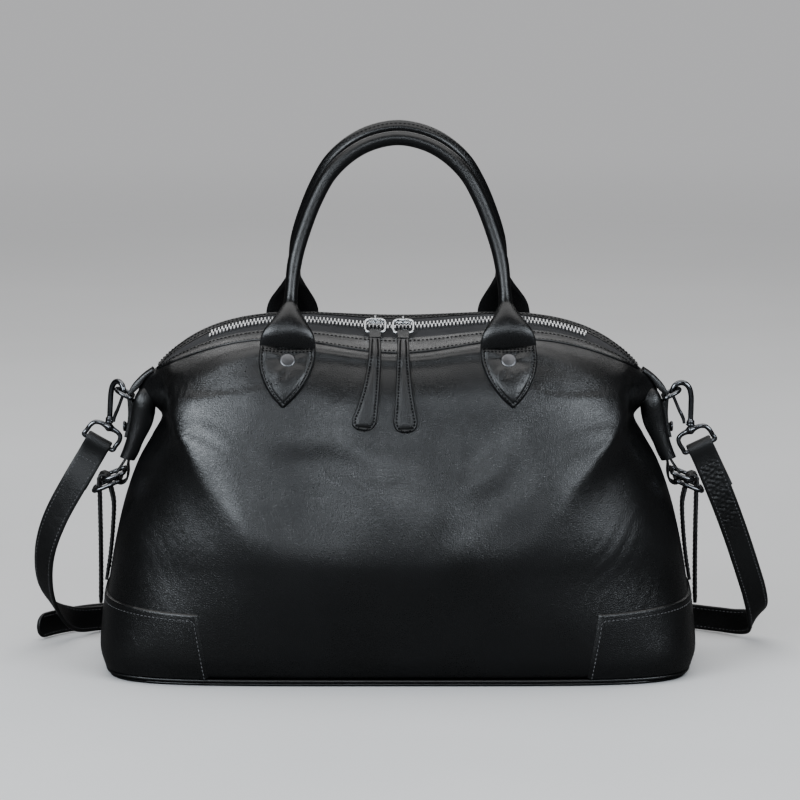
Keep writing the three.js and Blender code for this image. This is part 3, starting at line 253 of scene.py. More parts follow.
# Snap hook and its gate: steps outwards and up from the swivel, then barrel share or radius
HOOK_PATH = [
    (0, 3.5, 1), (0, 6.2, 1), (0, 7.6, 0), (0.2, 16, 0), (0, 25, 0), (-1.4, 29.6, 0), (-4.2, 32.3, 0),
    (-7.4, 32.8, 0), (-10.5, 31.3, 0), (-12.3, 28.4, 0), (-12.4, 25, 0),
]
GATE_PATH = [(-4.4, 4.6, 1), (-4.8, 7.4, 1.2), (-6.3, 11, 1.3), (-7.7, 13.6, 1.2), (-12, 23.6, 1.1)]
# Lug that the gate swings on: height, then steps outwards and radii
HOOK_LUG = dict(rise=4.6, reach=(0.0, 1.1, 2.2, 3.1), radius=(1.8, 1.6, 1.3, 1.0))
HOOK_COLLAR = [
    (1.5, 0.2), (2.2, 0.6), (2.2, 1.6), (1.6, 2.1), (1.6, 2.6), (2.5, 3.0), (2.9, 3.6), (2.9, 4.3),
    (2.4, 4.8),
]
SWIVEL = (200, 160.8)
# Tilt of the strap loop, then shift, lean and twist of the hook on it
ENDS = [
    dict(name="right", mirror=1, tilt=25.5, foot=(0, 0, 0), lean=0, twist=0),
    dict(name="left", mirror=-1, tilt=30, foot=(-2, 6, 1), lean=4, twist=45),
]
# Strap loop: shares across and down, knob share
LOOP_SHAPE = [
    (0, 0, 1), (0.25, 0, 0.3), (0.6, 0.02, 0), (0.88, 0.14, 0), (1, 0.4, 0), (1, 0.75, 0), (1, 1, 0),
    (0.5, 1, 0), (-0.5, 1, 0), (-1, 1, 0), (-1, 0.75, 0), (-1, 0.4, 0), (-0.88, 0.14, 0), (-0.6, 0.02, 0),
    (-0.25, 0, 0.3),
]
# Shoulder strap beyond its fold: middle, then the way from its inner to its outer edge
STRAP_RIGHT = [
    (222, 2.5, 115, 0.92, 0.08, 0.4), (232.5, 14, 88, 0.91, 0.12, 0.4), (243, 28, 58, 0.93, 0.14, 0.34),
    (249.5, 40, 38, 0.92, 0.2, 0.34), (252.5, 50, 23, 0.78, 0.3, 0.55), (250.5, 60, 14, 0.45, 0.25, 0.86),
    (242, 70, 10.6, 0.12, 0.06, 0.99), (228, 81, 9.8, 0, 0, 1), (207, 93, 9.6, 0, 0, 1),
    (170, 99.6, 9.8, 0, 0, 1), (110, 100, 10.6, 0, 0, 1), (60, 98.6, 12.6, 0, 0, 1), (41, 98.3, 13, 0, 0, 1),
    (31, 102, 13, 0, 0, 1), (20, 107.5, 13, 0, 0, 1), (0, 107.7, 13, 0, 0, 1), (-45, 106, 12, 0, 0, 1),
    (-100, 104.6, 10.2, 0, 0, 1), (-150, 104.2, 9.7, 0, 0, 1), (-190, 101, 9.6, 0, 0, 1),
    (-216, 93, 9.6, 0, 0, 1), (-234, 81.5, 9.6, 0, 0, 1), (-246, 69, 9.6, 0, 0, 1), (-254, 57, 9.6, 0, 0, 1),
]
STRAP_LEFT = [
    (222, 0.5, 124, 0.85, 0.1, 0.5), (236, 5, 98, 0.84, 0.3, 0.45), (244.5, 14, 72, 0.75, 0.55, 0.32),
    (245.5, 28, 46, 0.66, 0.6, 0.45), (239.5, 47, 25, 0.5, 0.5, 0.7), (228.5, 66, 13.4, 0.22, 0.2, 0.95),
    (213, 84, 10, 0, 0, 1), (190, 95.5, 9.6, 0, 0, 1), (150, 100.2, 9.7, 0, 0, 1), (100, 101, 10.2, 0, 0, 1),
    (45, 101.6, 12, 0, 0, 1), (2, 98.7, 13, 0, 0, 1),
]
STRAP_FOLD = dict(around=0.15, ply=0.1, flat_at=9, sewn_loop=34, sewn_buckle=26)
# Crumpled stretch of the right strap, and the slack wave of both
CRUMPLE = dict(low=54.0, high=118.0, fade_in=8, fade_out=16, half_width=7.4, fade_aside=2, height=0.3)
SLACK = dict(length=9.0, left=0.12, right=0.1, skew=7)
STRAP_STITCH = dict(aside=6.5, lift=0.06, start=58, before_buckle=34, before_tip=6, bridge=8)
BAND_TIP = dict(least=0.12, gain=0.88, reach=0.9)


# Camera at the photograph's angle
def set_camera():
    data = bpy.data.cameras.new("photo_camera")
    data.sensor_width = CAMERA["sensor"]
    data.lens = CAMERA["lens"]
    data.shift_x = CAMERA["shift"]
    data.clip_start, data.clip_end = CAMERA["clip"]
    camera = bpy.data.objects.new("photo_camera", data)
    camera.location = CAMERA["at"]
    camera.rotation_euler = (math.radians(CAMERA["pitch"]), 0.0, 0.0)
    bpy.context.scene.collection.objects.link(camera)
    bpy.context.scene.camera = camera


set_camera()


# Small vector tools
def unit(vectors):
    return vectors / np.maximum(np.linalg.norm(vectors, axis=-1, keepdims=True), 1e-12)


def column(table, at):
    """Value of a table's column at a fractional row, smooth and without overshoot."""
    values = np.asarray(table, float)
    step = np.diff(values)
    slope = np.concatenate([step[:1], np.zeros(len(values) - 2), step[-1:]])
    before, after = step[:-1], step[1:]
    same = before * after > 0
    slope[1:-1][same] = 2 * before[same] * after[same] / (before[same] + after[same])
    i = np.clip(np.floor(at).astype(int), 0, len(values) - 2)
    t = at - i
    t2, t3 = t * t, t * t * t
    return (values[i] * (2 * t3 - 3 * t2 + 1) + slope[i] * (t3 - 2 * t2 + t)
            + values[i + 1] * (3 * t2 - 2 * t3) + slope[i + 1] * (t3 - t2))


def smooth_path(rows, per_span, ring=False):
    """Smooth curve through rows whose first three numbers are a place."""
    p = np.asarray(rows, float)
    ends = (p[-1:], p[:2]) if ring else (2 * p[:1] - p[1:2], 2 * p[-1:] - p[-2:-1])
    ext = np.vstack([ends[0], p, ends[1]])
    t = (np.arange(per_span) / per_span)[:, None]
    out = []
    for i in range(len(p) if ring else len(p) - 1):
        p0, p1, p2, p3 = ext[i:i + 4]
        spans = ((p0, p1), (p1, p2), (p2, p3))
        d0, d1, d2 = (max(np.linalg.norm((b - a)[:3]) ** 0.5, 1e-3) for a, b in spans)
        m1 = ((p1 - p0) / d0 - (p2 - p0) / (d0 + d1) + (p2 - p1) / d1) * d1
        m2 = ((p2 - p1) / d1 - (p3 - p1) / (d1 + d2) + (p3 - p2) / d2) * d1
        out.append(p1 * (2 * t**3 - 3 * t**2 + 1) + m1 * (t**3 - 2 * t**2 + t)
                   + p2 * (3 * t**2 - 2 * t**3) + m2 * (t**3 - t**2))
    if not ring:
        out.append(p[-1:])
    return np.vstack(out)


def lengths(path):
    return np.concatenate([[0.0], np.cumsum(np.linalg.norm(np.diff(path[:, :3], axis=0), axis=1))])


def even(path, step):
    """The same path with rows an even step apart."""
    length = lengths(path)
    at = np.linspace(0, length[-1], max(int(round(length[-1] / step)), 2) + 1)
    return np.stack([np.interp(at, length, path[:, k]) for k in range(path.shape[1])], 1)


def even_ring(path, step):
    """A closed path with rows an even step apart, its first row not repeated."""
    return even(np.vstack([path, path[:1]]), step)[:-1]


def turns(count):
    """Angles of one full turn in even steps."""
    return np.arange(count) / count * 2 * np.pi


def squared(wave, power):
    """A sine or cosine drawn out towards a square wave."""
    return np.sign(wave) * np.abs(wave) ** power


def tangents(path, ring=False):
    steps = np.roll(path, -1, 0) - np.roll(path, 1, 0) if ring else np.gradient(path, axis=0)
    return unit(steps)


def round_edge(distance, radius):
    """Rise of a rounded edge from 0 to 1 over a distance from that edge."""
    return np.sqrt(1 - (1 - np.clip(distance / radius, 0, 1)) ** 2)


# Skin of the bag
random = np.random.default_rng(SWAY_SEED)
SWAY = [
    (2 * np.pi / random.uniform(SWAY_RANGE["shortest"], SWAY_RANGE["longest"]),
     random.uniform(0, np.pi), random.uniform(0, 2 * np.pi))
    for _ in range(SWAY_RANGE["waves"])
]


def low_relief(side, x, z):
    """Crinkles and the slow sway of soft leather, as a depth."""
    relief = np.zeros_like(x)
    for k, (pace, angle, phase) in enumerate(SWAY):
        along = x * math.cos(angle) + z * math.sin(angle)
        height = SWAY_RANGE["height"] * (SWAY_RANGE["pace"] / pace) ** 0.5
        relief += height * np.sin(pace * along + phase + side * k)
    for c in CRINKLES:
        if c["side"] == side:
            a = math.radians(c["angle"])
            u = (x - c["x"]) * math.cos(a) + (z - c["z"]) * math.sin(a)
            w = (z - c["z"]) * math.cos(a) - (x - c["x"]) * math.sin(a)
            bend = u + CRINKLE_WAVER["height"] * np.sin(w / CRINKLE_WAVER["length"] + c["x"])
            envelope = np.exp(-((u / c["reach"]) ** 2) - (w / c["length"]) ** 2)
            relief += c["depth"] * envelope * np.cos(2 * np.pi * bend / c["spacing"])
    return relief


CREST_LINE = smooth_path(CREST, 5)
CREST_WAY = unit(np.gradient(CREST_LINE[:, :2], axis=0))


def crest_rise(x, z):
    """Rise along the crest, long on its inner side and steep on its outer side."""
    flat = np.stack([x.ravel(), z.ravel()], -1)
    near = np.argmin(((flat[:, None] - CREST_LINE[None, :, :2]) ** 2).sum(-1), 1)
    away, way = flat - CREST_LINE[near, :2], CREST_WAY[near]
    inward = way[:, 0] * away[:, 1] - way[:, 1] * away[:, 0]
    beyond = np.abs((way * away).sum(1)) * ((near == 0) | (near == len(CREST_LINE) - 1))
    reach = np.where(inward > 0, CREST_LINE[near, 3], CREST_LINE[near, 4])
    rounding = CREST_LINE[near, 5]
    soft = np.sqrt(inward**2 + rounding**2) - rounding
    height = CREST_LINE[near, 2] * np.exp(-soft / reach - (beyond / CREST_FORM["end"]) ** 2)
    return height.reshape(x.shape)


def skin(side, s, v):
    """Point of the outer skin: side -1 front or 1 back, s from -1 to 1 across, v rows up."""
    s, v = np.broadcast_arrays(np.asarray(s, float), np.asarray(v, float))
    at = {name: column(BODY[:, i], v) for i, name in enumerate(BODY_COLUMNS)}
    face = "f" if side < 0 else "b"
    t = np.abs(s)
    across = np.sin(np.pi / 2 * (1 - (1 - t) ** END_CROWDING))
    depth = at["d" + face] * np.maximum(1 - across ** at["p"], 0) ** at["q"] + at["ease"] * (1 - t)
    nose = at["n" + face]
    x = np.sign(s) * ((at["hw"] - nose) * across + nose * np.exp(-((depth / at["nd"]) ** 2)))
    middle = at["z" + face]
    z = middle + (at["zs"] - middle) * across ** at["k"] + at["l" + face] * np.sin(np.pi * across) ** 2
    dent = np.zeros_like(x)
    for fold in FOLDS:
        if fold["side"] == side:
            dent += fold["depth"] * np.exp(
                -(((x - fold["x"]) / fold["rx"]) ** 2) - ((z - fold["z"]) / fold["rz"]) ** 2)
    calm = np.clip(v / CALM["foot"], 0, 1) * np.clip((TOP - CALM["top"] - v) / CALM["fade"], 0, 1)
    dent += low_relief(side, x, z) * calm
    rise = np.zeros_like(x)
    if side < 0:
        rise = crest_rise(x, z) * (1 - np.exp(-((depth / CREST_FORM["depth"]) ** 2)))
    wing = np.clip((np.abs(x) - CREST_FORM["lean_x"]) / CREST_FORM["lean_over"], 0, 1)
    x = x + np.sign(s) * CREST_FORM["lean"] * rise * wing
    return np.stack([x, side * (depth + rise - dent * (1 - across**END_FLATNESS)), z], -1)


def skin_normal(side, s, v):
    h = 1e-3
    s, v = np.broadcast_arrays(np.asarray(s, float), np.asarray(v, float))
    along = skin(side, np.minimum(s + h, 1), v) - skin(side, np.maximum(s - h, -1), v)
    up = skin(side, s, np.minimum(v + h, TOP)) - skin(side, s, np.maximum(v - h, 0))
    normal = np.cross(along, up) * -side
    normal[np.abs(s) > 1 - 1e-6, 1] = 0
    return unit(normal)


def even_steps(curve, low, high, count, samples=1200):
    """Values from low to high that are evenly far apart along a curve."""
    t = np.linspace(low, high, samples)
    length = lengths(curve(t))
    return np.interp(np.linspace(0, length[-1], count), length, t)


def s_at_x(side, x, v, halvings=30):
    """s where a row of the skin has a given X."""
    low, high = np.full(np.shape(x), -1.0), np.full(np.shape(x), 1.0)
    for _ in range(halvings):
        middle = (low + high) / 2
        short = skin(side, middle, v)[..., 0] < x
        low, high = np.where(short, middle, low), np.where(short, high, middle)
    return (low + high) / 2


def find_rows(side, x, z, rounds=8):
    """s and v where the skin has a given X and Z, found from a coarse map and then sharpened."""
    x, z = np.broadcast_arrays(np.asarray(x, float), np.asarray(z, float))
    shape = x.shape
    x, z = x.ravel(), z.ravel()
    s_steps = np.linspace(-SKIN_MAP["s"], SKIN_MAP["s"], SKIN_MAP["columns"])
    v_steps = np.linspace(SKIN_MAP["low_row"], TOP - SKIN_MAP["below_top"], SKIN_MAP["rows"])
    s_map, v_map = (a.ravel() for a in np.meshgrid(s_steps, v_steps))
    known = skin(side, s_map, v_map)
    best = [np.argmin((known[:, 0] - a) ** 2 + (known[:, 2] - b) ** 2) for a, b in zip(x, z)]
    s, v = s_map[best], v_map[best]
    h, tiny = 1e-4, 1e-6
    most_s, most_v, last_s, last_v = 0.05, 0.3, 0.98, TOP - 1e-3
    for _ in range(rounds):
        here = skin(side, s, v)
        ds = (skin(side, s + h, v) - here) / h
        dv = (skin(side, s, v + h) - here) / h
        ex, ez = x - here[:, 0], z - here[:, 2]
        det = ds[:, 0] * dv[:, 2] - ds[:, 2] * dv[:, 0]
        det = np.where(np.abs(det) < tiny, tiny, det)
        s = np.clip(s + np.clip((ex * dv[:, 2] - ez * dv[:, 0]) / det, -most_s, most_s), -last_s, last_s)
        v = np.clip(v + np.clip((ds[:, 0] * ez - ds[:, 2] * ex) / det, -most_v, most_v), 0, last_v)
    return s.reshape(shape), v.reshape(shape)


def skin_at(side, x, z):
    s, v = find_rows(side, x, z)
    return skin(side, s, v), skin_normal(side, s, v)


# Meshes
class Shape:
    """Points and polygons of a piece, gathered from closed parts that are each turned outwards."""

    def __init__(self):
        self.points, self.faces, self.uvs, self.count = [], [], [], 0

    def add(self, points, quads, caps=(), uv=None):
        points = np.asarray(points, float).reshape(-1, 3)
        quads = np.asarray(quads, int).reshape(-1, 4)
        a, b, c, d = (points[quads[:, k]] for k in range(4))
        volume = np.einsum("ij,ij->", a, np.cross(b, c)) + np.einsum("ij,ij->", a, np.cross(c, d))
        for cap in caps:
            for i in range(1, len(cap) - 1):
                volume += points[cap[0]] @ np.cross(points[cap[i]], points[cap[i + 1]])
        turn = -1 if volume < 0 else 1
        self.faces += (quads[:, ::turn] + self.count).tolist()
        self.faces += [[self.count + i for i in cap[::turn]] for cap in caps]
        self.points.append(points)
        self.uvs.append(np.zeros((len(points), 2)) if uv is None else np.asarray(uv, float).reshape(-1, 2))
        self.count += len(points)
        return self


def grid_quads(rows, columns, close_rows=False, close_columns=False):
    i = np.arange(rows if close_rows else rows - 1)[:, None]
    j = np.arange(columns if close_columns else columns - 1)[None, :]
    i1, j1 = (i + 1) % rows, (j + 1) % columns
    corners = (i * columns + j, i * columns + j1, i1 * columns + j1, i1 * columns + j)
    return np.stack(np.broadcast_arrays(*corners), -1).reshape(-1, 4)


def loft(shape, rings, ring=False, uv=None):
    """Skin over rings of points, capped at both ends unless the rings close into a loop."""
    rings = np.asarray(rings, float)
    n, k = rings.shape[:2]
    caps = [] if ring else [list(range(k - 1, -1, -1)), list(range((n - 1) * k, n * k))]
    return shape.add(rings, grid_quads(n, k, ring, True), caps, uv)


def shell(shape, outer, inner, uv=None):
    """Closed sheet between two grids of points."""
    rows, columns = outer.shape[:2]
    size = rows * columns
    top = grid_quads(rows, columns)
    under = top[:, ::-1] + size
    rim = np.concatenate([
        np.arange(columns), np.arange(2, rows) * columns - 1,
        size - 1 - np.arange(columns), np.arange(rows - 2, 0, -1) * columns,
    ])
    after = np.roll(rim, -1)
    sides = np.stack([after, rim, rim + size, after + size], -1)
    both = None if uv is None else np.concatenate([uv.reshape(-1, 2), uv.reshape(-1, 2)])
    return shape.add(np.concatenate([outer.reshape(-1, 3), inner.reshape(-1, 3)]),
                     np.concatenate([top, under, sides]), (), both)


def tube(shape, path, normal, radius, sides=14, ring=False):
    """Round wire along a path that lies square to a normal; its radius may change."""
    path = np.asarray(path, float)
    normal = np.broadcast_to(np.asarray(normal, float), path.shape)
    outward = unit(np.cross(tangents(path, ring), normal))
    turn = (np.arange(sides) + 0.5) / sides * 2 * np.pi
    size = np.broadcast_to(np.asarray(radius, float), (len(path),))[:, None, None]
    rings = path[:, None] + size * (outward[:, None] * np.cos(turn)[None, :, None]
                                    + normal[:, None] * np.sin(turn)[None, :, None])
    return loft(shape, rings, ring)


def flat_section(half_width, half_thick, across=15, edge=5):
    """Section of a leather band with rounded edges, as steps across and up."""
    flat = np.linspace(-1, 1, across) * (half_width - half_thick)
    turn = np.linspace(0, np.pi, edge + 2)[1:-1]
    right = [(half_width - half_thick + half_thick * math.sin(a), half_thick * math.cos(a)) for a in turn]
    left = [(-x, -y) for x, y in right]
    return np.array([(a, half_thick) for a in flat] + right + [(a, -half_thick) for a in flat[::-1]] + left)


def band_frame(path, across):
    """Ways across and up of a band, square to its path."""
    along = tangents(path)
    across = unit(across - along * np.sum(across * along, 1, keepdims=True))
    return across, np.cross(along, across)


def band(shape, path, across, half_width, thick, relief=None, round_end=False):
    """Leather band along a path; across is the way over its width, relief a height over its faces."""
    across, up = band_frame(path, across)
    section = flat_section(half_width, thick / 2)
    aside, above = section[None, :, 0], section[None, :, 1]
    way = lengths(path)[:, None]
    widths = np.ones_like(way)
    if round_end:
        rounded = round_edge(way[-1] - way, half_width * BAND_TIP["reach"])
        widths = BAND_TIP["least"] + BAND_TIP["gain"] * rounded
    rings = path[:, None] + across[:, None] * (aside * widths)[..., None] + up[:, None] * above[..., None]
    if relief is not None:
        rings = rings + up[:, None] * relief(way, aside, above)[..., None]
    uv = np.stack(np.broadcast_arrays(way, aside), -1) * MM
    return loft(shape, rings, uv=uv)


def turned(shape, profile, at, direction, sides=40):
    """Turned metal on a point: profile rows are radius and height, closed on its axis."""
    aslant, least = [0.0, 0.31, 0.95], 0.02
    direction = unit(np.asarray(direction, float))
    aside = unit(np.cross(direction, aslant))
    third = np.cross(direction, aside)
    circle = aside * np.cos(turns(sides))[:, None] + third * np.sin(turns(sides))[:, None]
    rings = [np.asarray(at) + circle * max(r, least) + direction * h for r, h in profile]
    return loft(shape, rings)


def cap_profile(radius, height):
    """Rivet cap: short upright foot, round shoulder and a nearly flat crown."""
    steps = np.linspace(0, np.pi / 2, 9)
    foot = [(radius * 0.97, 0.0), (radius, height * 0.12)]
    shoulder = [(radius * (0.62 + 0.38 * math.cos(a)), height * (0.45 + 0.55 * math.sin(a))) for a in steps]
    crown = [(radius * 0.3, height * 1.04), (0, height * 1.06)]
    return foot + shoulder + crown


def mesh_object(name, shape, material, sharp):
    mesh = bpy.data.meshes.new(name)
    mesh.from_pydata(np.concatenate(shape.points) * MM, [], shape.faces)
    uv = np.concatenate(shape.uvs)
    if uv.any():
        corners = np.zeros(len(mesh.loops), np.int32)
        mesh.loops.foreach_get("vertex_index", corners)
        mesh.uv_layers.new(name="UVMap").data.foreach_set("uv", uv[corners].astype(np.float32).ravel())
    mesh.shade_smooth()
    mesh.set_sharp_from_angle(angle=math.radians(sharp))
    mesh.materials.append(material)
    made = bpy.data.objects.new(name, mesh)
    bpy.context.scene.collection.objects.link(made)
    return made


def declare(made, nodes, body):
    """Puts a finished piece on its body, then hides the solids it stands for."""
    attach(made, body)
    if nodes:
        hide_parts(*nodes)
    return made


def piece(name, shape, material, nodes=(), body="bag", sharp=48):
    return declare(mesh_object(name, shape, material, sharp), nodes, body)


# Shader nodes
def put(tree, kind, inputs=None, **settings):
    node = tree.nodes.new(kind)
    for name, value in settings.items():
        setattr(node, name, value)
    for key, value in (inputs or {}).items():
        if isinstance(value, bpy.types.NodeSocket):
            tree.links.new(value, node.inputs[key])
        else:
            node.inputs[key].default_value = value
    return node


def calc(tree, operation, a, b=0.0):
    return put(tree, "ShaderNodeMath", {0: a, 1: b}, operation=operation).outputs[0]


def remap(tree, value, low, high, to_low=0.0, to_high=1.0, curve="LINEAR"):
    return put(tree, "ShaderNodeMapRange", {
        "Value": value, "From Min": low, "From Max": high, "To Min": to_low, "To Max": to_high,
    }, interpolation_type=curve).outputs["Result"]


def mix_color(tree, factor, a, b):
    return put(tree, "ShaderNodeMix", {0: factor, 6: a, 7: b}, data_type="RGBA").outputs[2]


def noise(tree, place, scale, detail, distortion=0.0):
    return put(tree, "ShaderNodeTexNoise", {
        "Vector": place, "Scale": scale, "Detail": detail, "Distortion": distortion}).outputs


def node_group(name, inputs, outputs):
    group = bpy.data.node_groups.new(name, "ShaderNodeTree")
    for label, kind, value in inputs:
        socket = group.interface.new_socket(name=label, in_out="INPUT", socket_type=kind)
        if value is not None:
            socket.default_value = value
    for label in outputs:
        group.interface.new_socket(name=label, in_out="OUTPUT", socket_type="NodeSocketFloat")
    return group, group.nodes.new("NodeGroupInput").outputs, group.nodes.new("NodeGroupOutput").inputs


def leather_group():
    """Pebbled grain, fine pores, hair creases and slow patina of finished leather."""
    group, given, result = node_group("leather_grain", [
        ("Vector", "NodeSocketVector", None), ("Grain", "NodeSocketFloat", 900.0),
        ("Creases", "NodeSocketFloat", 0.4),
    ], ["Height", "Pores", "Patina"])
    place, grain = given["Vector"], given["Grain"]

    def times(a, b):
        return calc(group, "MULTIPLY", a, b)

    warp = noise(group, place, times(grain, 0.22), 2.0)["Color"]
    shift = put(group, "ShaderNodeVectorMath", {0: warp, 1: (0.5, 0.5, 0.5)}, operation="SUBTRACT")
    scaled = put(group, "ShaderNodeVectorMath", {
        0: shift.outputs[0], "Scale": calc(group, "DIVIDE", 1.6, grain)}, operation="SCALE")
    bent = put(group, "ShaderNodeVectorMath", {0: place, 1: scaled.outputs[0]}, operation="ADD")
    cells = put(group, "ShaderNodeTexVoronoi", {
        "Vector": bent.outputs[0], "Scale": grain, "Randomness": 0.95}, feature="DISTANCE_TO_EDGE")
    pebble = remap(group, cells.outputs["Distance"], 0.0, 0.3)
    fine = noise(group, place, times(grain, 2.4), 2.0)[0]
    slow = noise(group, place, times(grain, 0.09), 3.0)[0]
    hair = noise(group, place, 85.0, 4.0, 0.8)[0]
    off_line = calc(group, "ABSOLUTE", calc(group, "SUBTRACT", hair, 0.5))
    where = remap(group, noise(group, place, 16.0, 1.0)[0], 0.5, 0.66)
    crease = times(remap(group, off_line, 0.0, 0.035, 1.0, 0.0), where)
    height = calc(group, "ADD", times(pebble, 0.7), times(fine, 0.3))
    height = calc(group, "ADD", height, times(slow, 0.5))
    height = calc(group, "SUBTRACT", height, times(crease, given["Creases"]))
    patina = noise(group, place, 19.0, 3.0)[0]
    group.links.new(height, result["Height"])
    group.links.new(calc(group, "SUBTRACT", 1.0, pebble), result["Pores"])
    group.links.new(remap(group, patina, 0.34, 0.66), result["Patina"])
    return group


def wear_group():
    """Slow smudges and fine rub marks of handled metal or thread."""
    group, given, result = node_group("handling_marks", [
        ("Vector", "NodeSocketVector", None), ("Scale", "NodeSocketFloat", 120.0)], ["Smudge", "Rub"])
    smudge = noise(group, given["Vector"], given["Scale"], 3.0)[0]
    rub = noise(group, given["Vector"], calc(group, "MULTIPLY", given["Scale"], 14.0), 2.0)[0]
    group.links.new(remap(group, smudge, 0.35, 0.65), result["Smudge"])
    group.links.new(rub, result["Rub"])
    return group


GRAIN = leather_group()
MARKS = wear_group()


def new_material(name):
    material = bpy.data.materials.new(name)
    material.use_nodes = True
    tree = material.node_tree
    return material, tree, tree.nodes["Principled BSDF"], put(tree, "ShaderNodeTexCoord")


def leather(name, dark, light, grain, creases, rough, depth, coat):
    material, tree, surface, coords = new_material(name)
    made = put(tree, "ShaderNodeGroup", {
        "Vector": coords.outputs["Object"], "Grain": grain, "Creases": creases}, node_tree=GRAIN)
    tone = mix_color(tree, made.outputs["Patina"], (*dark, 1), (*light, 1))
    in_pores = calc(tree, "MULTIPLY", made.outputs["Pores"], 0.35)
    tone = mix_color(tree, in_pores, tone, (0.003, 0.003, 0.003, 1))
    gloss = calc(tree, "ADD", remap(tree, made.outputs["Patina"], 0.0, 1.0, *rough),
                 calc(tree, "MULTIPLY", made.outputs["Pores"], 0.08))
    bump = put(tree, "ShaderNodeBump", {"Strength": 0.8, "Distance": depth, "Height": made.outputs["Height"]})
    tree.links.new(tone, surface.inputs["Base Color"])
    tree.links.new(gloss, surface.inputs["Roughness"])
    tree.links.new(bump.outputs[0], surface.inputs["Normal"])
    surface.inputs["Specular IOR Level"].default_value = 0.45
    tree.links.new(remap(tree, made.outputs["Patina"], 0.0, 1.0, coat, 0.0), surface.inputs["Coat Weight"])
    surface.inputs["Coat Roughness"].default_value = 0.28
    return material


def metal(name, color, worn, rough):
    material, tree, surface, coords = new_material(name)
    made = put(tree, "ShaderNodeGroup", {"Vector": coords.outputs["Object"], "Scale": 140.0}, node_tree=MARKS)
    tone = mix_color(tree, made.outputs["Smudge"], (*color, 1), (*worn, 1))
    bump = put(tree, "ShaderNodeBump", {"Strength": 0.12, "Distance": 0.00008, "Height": made.outputs["Rub"]})
    tree.links.new(tone, surface.inputs["Base Color"])
    tree.links.new(remap(tree, made.outputs["Smudge"], 0.0, 1.0, *rough), surface.inputs["Roughness"])
    tree.links.new(bump.outputs[0], surface.inputs["Normal"])
    surface.inputs["Metallic"].default_value = 1.0
    return material


def thread(name, color, light):
    material, tree, surface, coords = new_material(name)
    made = put(tree, "ShaderNodeGroup", {"Vector": coords.outputs["Object"], "Scale": 260.0}, node_tree=MARKS)
    tone = mix_color(tree, made.outputs["Smudge"], (*color, 1), (*light, 1))
    tree.links.new(tone, surface.inputs["Base Color"])
    bump = put(tree, "ShaderNodeBump", {"Strength": 0.5, "Distance": 0.0001, "Height": made.outputs["Rub"]})
    tree.links.new(bump.outputs[0], surface.inputs["Normal"])
    tree.links.new(remap(tree, made.outputs["Smudge"], 0.0, 1.0, 0.5, 0.68), surface.inputs["Roughness"])
    surface.inputs["Specular IOR Level"].default_value = 0.05
    return material


def woven_tape():
    material, tree, surface, coords = new_material("zip_weave")
    place = put(tree, "ShaderNodeSeparateXYZ", {0: coords.outputs["UV"]})
    waves = []
    for axis, pace in (("X", 5200.0), ("Y", 7400.0)):
        waves.append(calc(tree, "SINE", calc(tree, "MULTIPLY", place.outputs[axis], pace)))
    weave = calc(tree, "MULTIPLY", waves[0], waves[1])
    made = put(tree, "ShaderNodeGroup", {"Vector": coords.outputs["Object"], "Scale": 90.0}, node_tree=MARKS)
    tone = mix_color(tree, remap(tree, weave, -1.0, 1.0), (0.008, 0.008, 0.009, 1), (0.03, 0.03, 0.033, 1))
    bump = put(tree, "ShaderNodeBump", {"Strength": 0.5, "Distance": 0.00025, "Height": weave})
    tree.links.new(tone, surface.inputs["Base Color"])
    tree.links.new(remap(tree, made.outputs["Smudge"], 0.0, 1.0, 0.7, 0.85), surface.inputs["Roughness"])
    tree.links.new(bump.outputs[0], surface.inputs["Normal"])
    return material


BODY_LEATHER = leather(
    "body_leather", dark=(0.0018, 0.0019, 0.002), light=(0.0038, 0.0039, 0.0043),
    grain=780, creases=0.01, rough=(0.22, 0.32), depth=0.00013, coat=0.45)
HANDLE_LEATHER = leather(
    "handle_leather", dark=(0.0018, 0.0018, 0.002), light=(0.0036, 0.0036, 0.004),
    grain=1200, creases=0.02, rough=(0.2, 0.27), depth=0.00006, coat=0.3)
STRAP_LEATHER = leather(
    "strap_leather", dark=(0.0022, 0.0022, 0.0024), light=(0.0044, 0.0045, 0.0048),
    grain=900, creases=0.03, rough=(0.3, 0.4), depth=0.00016, coat=0.2)
GUNMETAL = metal("gunmetal", (0.11, 0.113, 0.12), (0.16, 0.165, 0.175), (0.12, 0.2))
BLACK_NICKEL = metal("black_nickel", (0.12, 0.12, 0.125), (0.17, 0.171, 0.178), (0.32, 0.4))
BRIGHT = metal("zip_nickel", (0.62, 0.63, 0.64), (0.74, 0.75, 0.76), (0.16, 0.28))
TEETH_METAL = metal("zip_teeth_nickel", (0.8, 0.81, 0.82), (0.9, 0.9, 0.91), (0.28, 0.36))
BODY_THREAD = thread("body_thread", (0.002, 0.002, 0.0022), (0.006, 0.006, 0.0065))
STRAP_THREAD = thread("strap_thread", (0.075, 0.075, 0.078), (0.14, 0.14, 0.147))
WEAVE = woven_tape()


# Geometry nodes for what repeats along a path
def socket_in(tree, name, kind, value=None):
    socket = tree.interface.new_socket(name=name, in_out="INPUT", socket_type=kind)
    if value is not None:
        socket.default_value = value
    return socket.identifier


